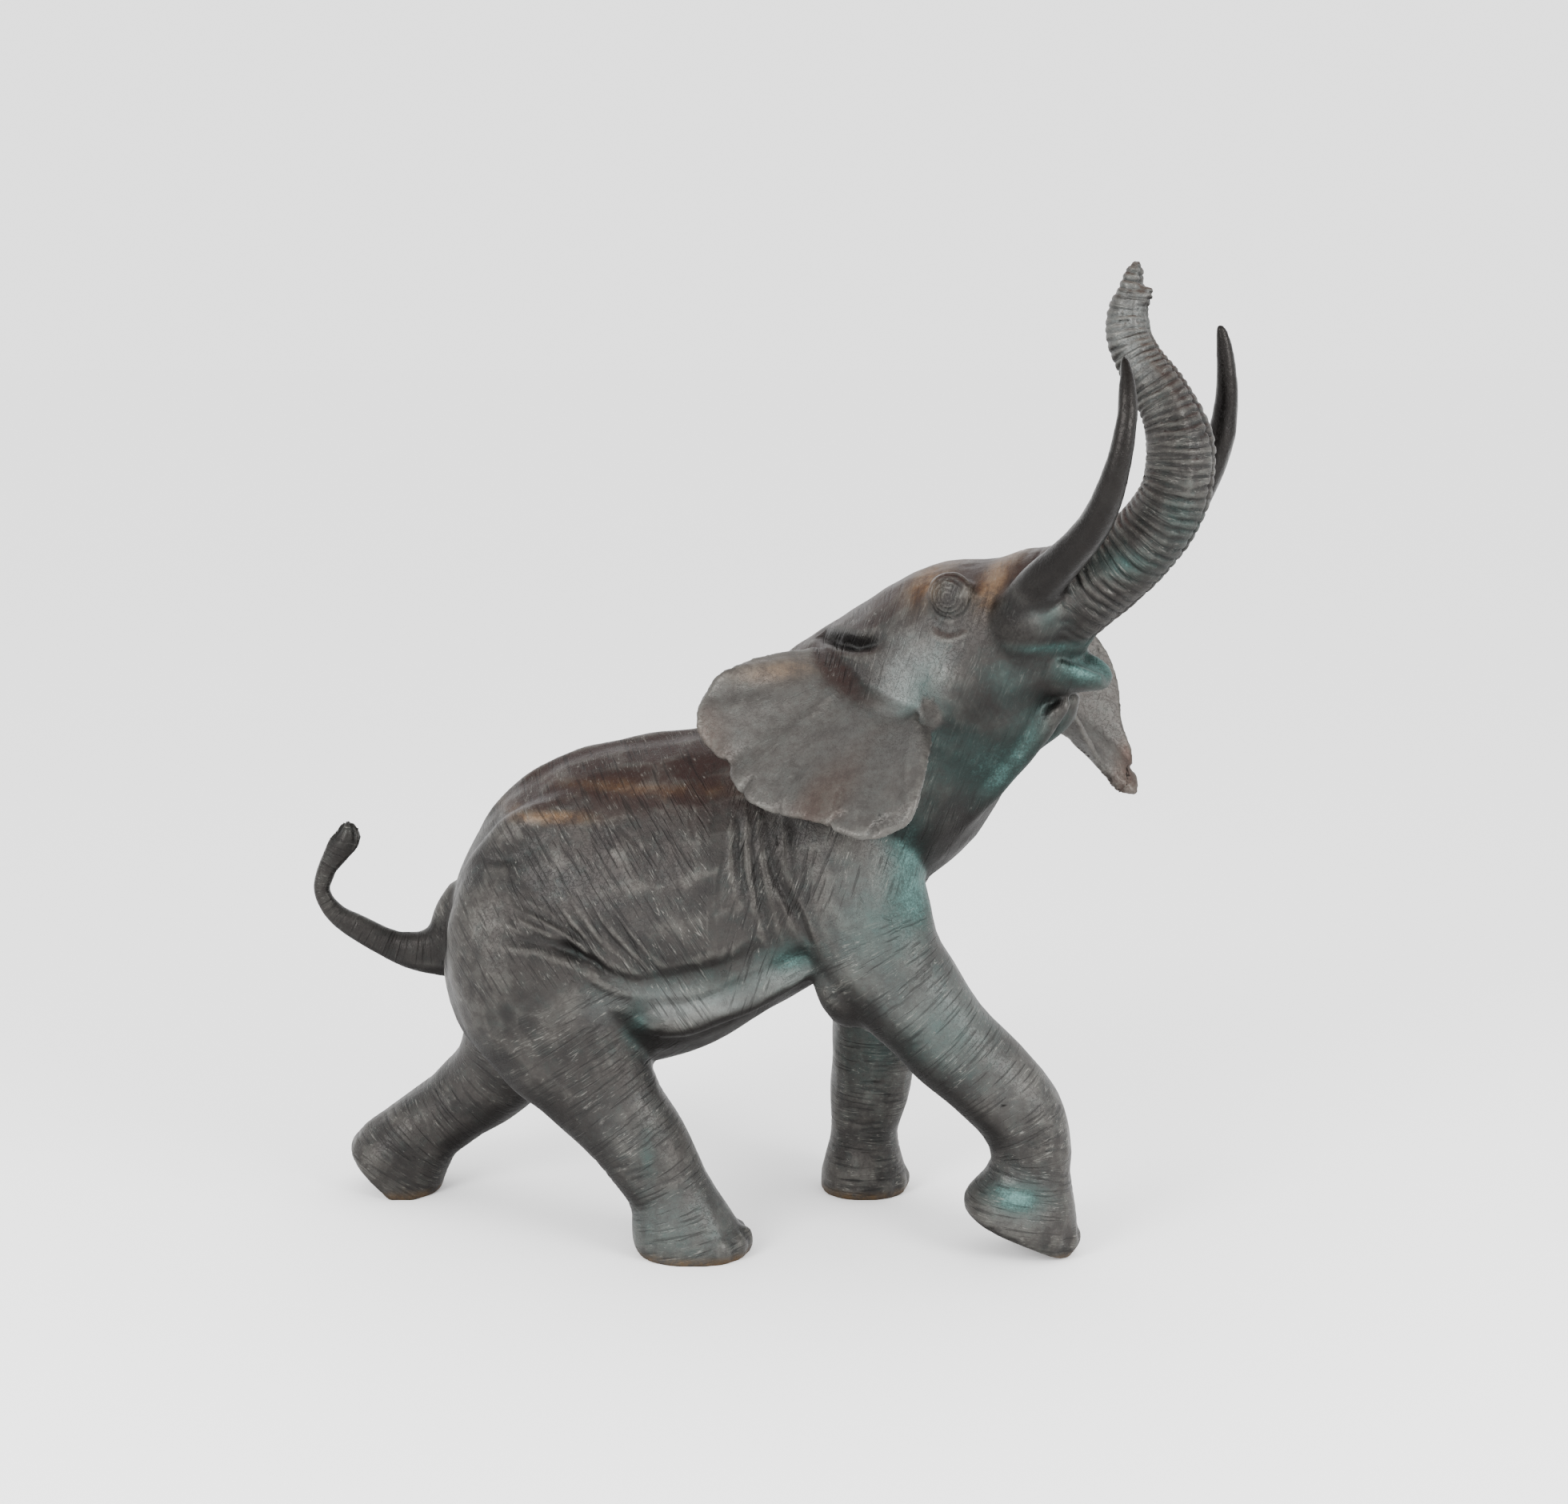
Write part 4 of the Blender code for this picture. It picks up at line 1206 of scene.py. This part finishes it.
# Pale weathering and painted highlights.
pale_and_highlight_share = share("pale_and_painted_highlight")
pale_and_highlight_amount = times(pale_and_highlight_share, ranged(patchy, 0.34, 0.66, 0.50, 0.88))
pale_and_highlight_tone = mixed(russet_share, colour("696c6a"), colour("65564c"))
ground = mixed(pale_and_highlight_amount, ground, pale_and_highlight_tone)
raised = ranged(share("hollow"), 0.42, 0.05, 0.0, 0.30)
worn = times(raised, ranged(patchy, 0.36, 0.58, 0.3, 1.0))
ground = mixed(worn, ground, colour("5f5c57"))
green_amount = plus(share("green"), times(ranged(basin_share, 0.60, 1.0), 0.10))
green_amount = plus(green_amount, times(minus(patchy, 0.57), 1.2))
ground = mixed(ranged(green_amount, -0.2, 1.0, 0.0, 0.85), ground, colour("263c39"))
bright_amount = plus(green_amount, times(minus(speckles, 0.5), 1.3))
ground = mixed(ranged(bright_amount, 0.60, 1.60, 0.0, 0.70), ground, colour("5f8581"))
ground = mixed(times(groove, 0.50), ground, colour("0f0e0d"))
ground = mixed(times(cracks, 0.45), ground, colour("131110"))
# A painted highlight along the fine wrinkle ridges.
ground = mixed(times(fine_ridge_line, 0.38), ground, colour("85827c"))
# Dark tusks and tail, and painted shade on the undersides and in the shade patches.
dark_tone_and_shade_share = share("dark_tone_and_painted_shade")
ground = mixed(times(dark_tone_and_shade_share, 0.88), ground, colour("0c0908"))
dirt_amount = times(share("dirt"), ranged(patchy, 0.3, 0.6))
ground = mixed(dirt_amount, ground, colour("443420"))
tree.links.new(ground, shader.inputs["Base Color"])

bare = plus(times(dark_tone_and_shade_share, 0.10), times(russet_share, 0.20))
tree.links.new(plus(bare, 0.70), shader.inputs["Metallic"])

rough = ranged(clouds, 0.3, 0.7, 0.42, 0.54)
rough = minus(rough, times(dark_tone_and_shade_share, 0.12))
rough = plus(rough, times(share("underside"), 0.30))
rough = plus(rough, ranged(green_amount, 0.1, 1.0, 0.0, 0.15))
tree.links.new(rough, shader.inputs["Roughness"])

height = times(fine_ridge_line, 0.0008)
height = minus(height, times(groove, 0.0012))
height = minus(height, times(cracks, 0.0006))
height = plus(height, times(speckles, 0.0005))
height = plus(height, times(pores, 0.0012))
bump = node(tree, "ShaderNodeBump", {"Height": height, "Strength": 0.8, "Distance": 1.0})
tree.links.new(bump.outputs["Normal"], shader.inputs["Normal"])
elephant.data.materials.clear()
elephant.data.materials.append(bronze)
print("nodes in the bronze:", len(tree.nodes))

# %% [markdown]
# The studio is a wide pale floor and a white room. One large soft light stands high on the camera's side
# and another in front of the head, so that the flank is evenly lit and the underside falls off.

# %% Floor and light
FLOOR_REACH = 30
ROOM_BRIGHTNESS = 2.3
LAMP_SIZE = 2.4

paper = bpy.data.materials.new("pale_paper")
paper.use_nodes = True
paper_shader = paper.node_tree.nodes["Principled BSDF"]
paper_shader.inputs["Base Color"].default_value = colour("fcfcfc")
paper_shader.inputs["Roughness"].default_value = 0.9
sweep = bmesh.new()
bmesh.ops.create_grid(sweep, x_segments=1, y_segments=1, size=FLOOR_REACH)
floor_mesh = bpy.data.meshes.new("floor")
sweep.to_mesh(floor_mesh)
sweep.free()
floor = bpy.data.objects.new("floor", floor_mesh)
floor.data.materials.append(paper)
bpy.context.scene.collection.objects.link(floor)

room = bpy.data.worlds.new("white_room")
room.use_nodes = True
room.node_tree.nodes["Background"].inputs["Color"].default_value = (1, 1, 1, 1)
room.node_tree.nodes["Background"].inputs["Strength"].default_value = ROOM_BRIGHTNESS
bpy.context.scene.world = room


def soft_light(name, place, target, power):
    """A square light that looks at the target."""
    lamp = bpy.data.lights.new(name, "AREA")
    lamp.size = LAMP_SIZE
    lamp.energy = power
    shape = bpy.data.objects.new(name, lamp)
    shape.location = place
    shape.rotation_euler = (Vector(target) - Vector(place)).to_track_quat("-Z", "Y").to_euler()
    bpy.context.scene.collection.objects.link(shape)


soft_light("key_light", (-3.4, -4.4, 3.0), (0, 0, 0.8), 420)
soft_light("front_light", (4.0, -3.6, 2.6), (0.3, 0, 1.0), 360)
print("lights:", len(bpy.data.lights))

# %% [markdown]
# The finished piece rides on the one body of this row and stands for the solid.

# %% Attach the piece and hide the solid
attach(elephant, "root")
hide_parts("elephant")
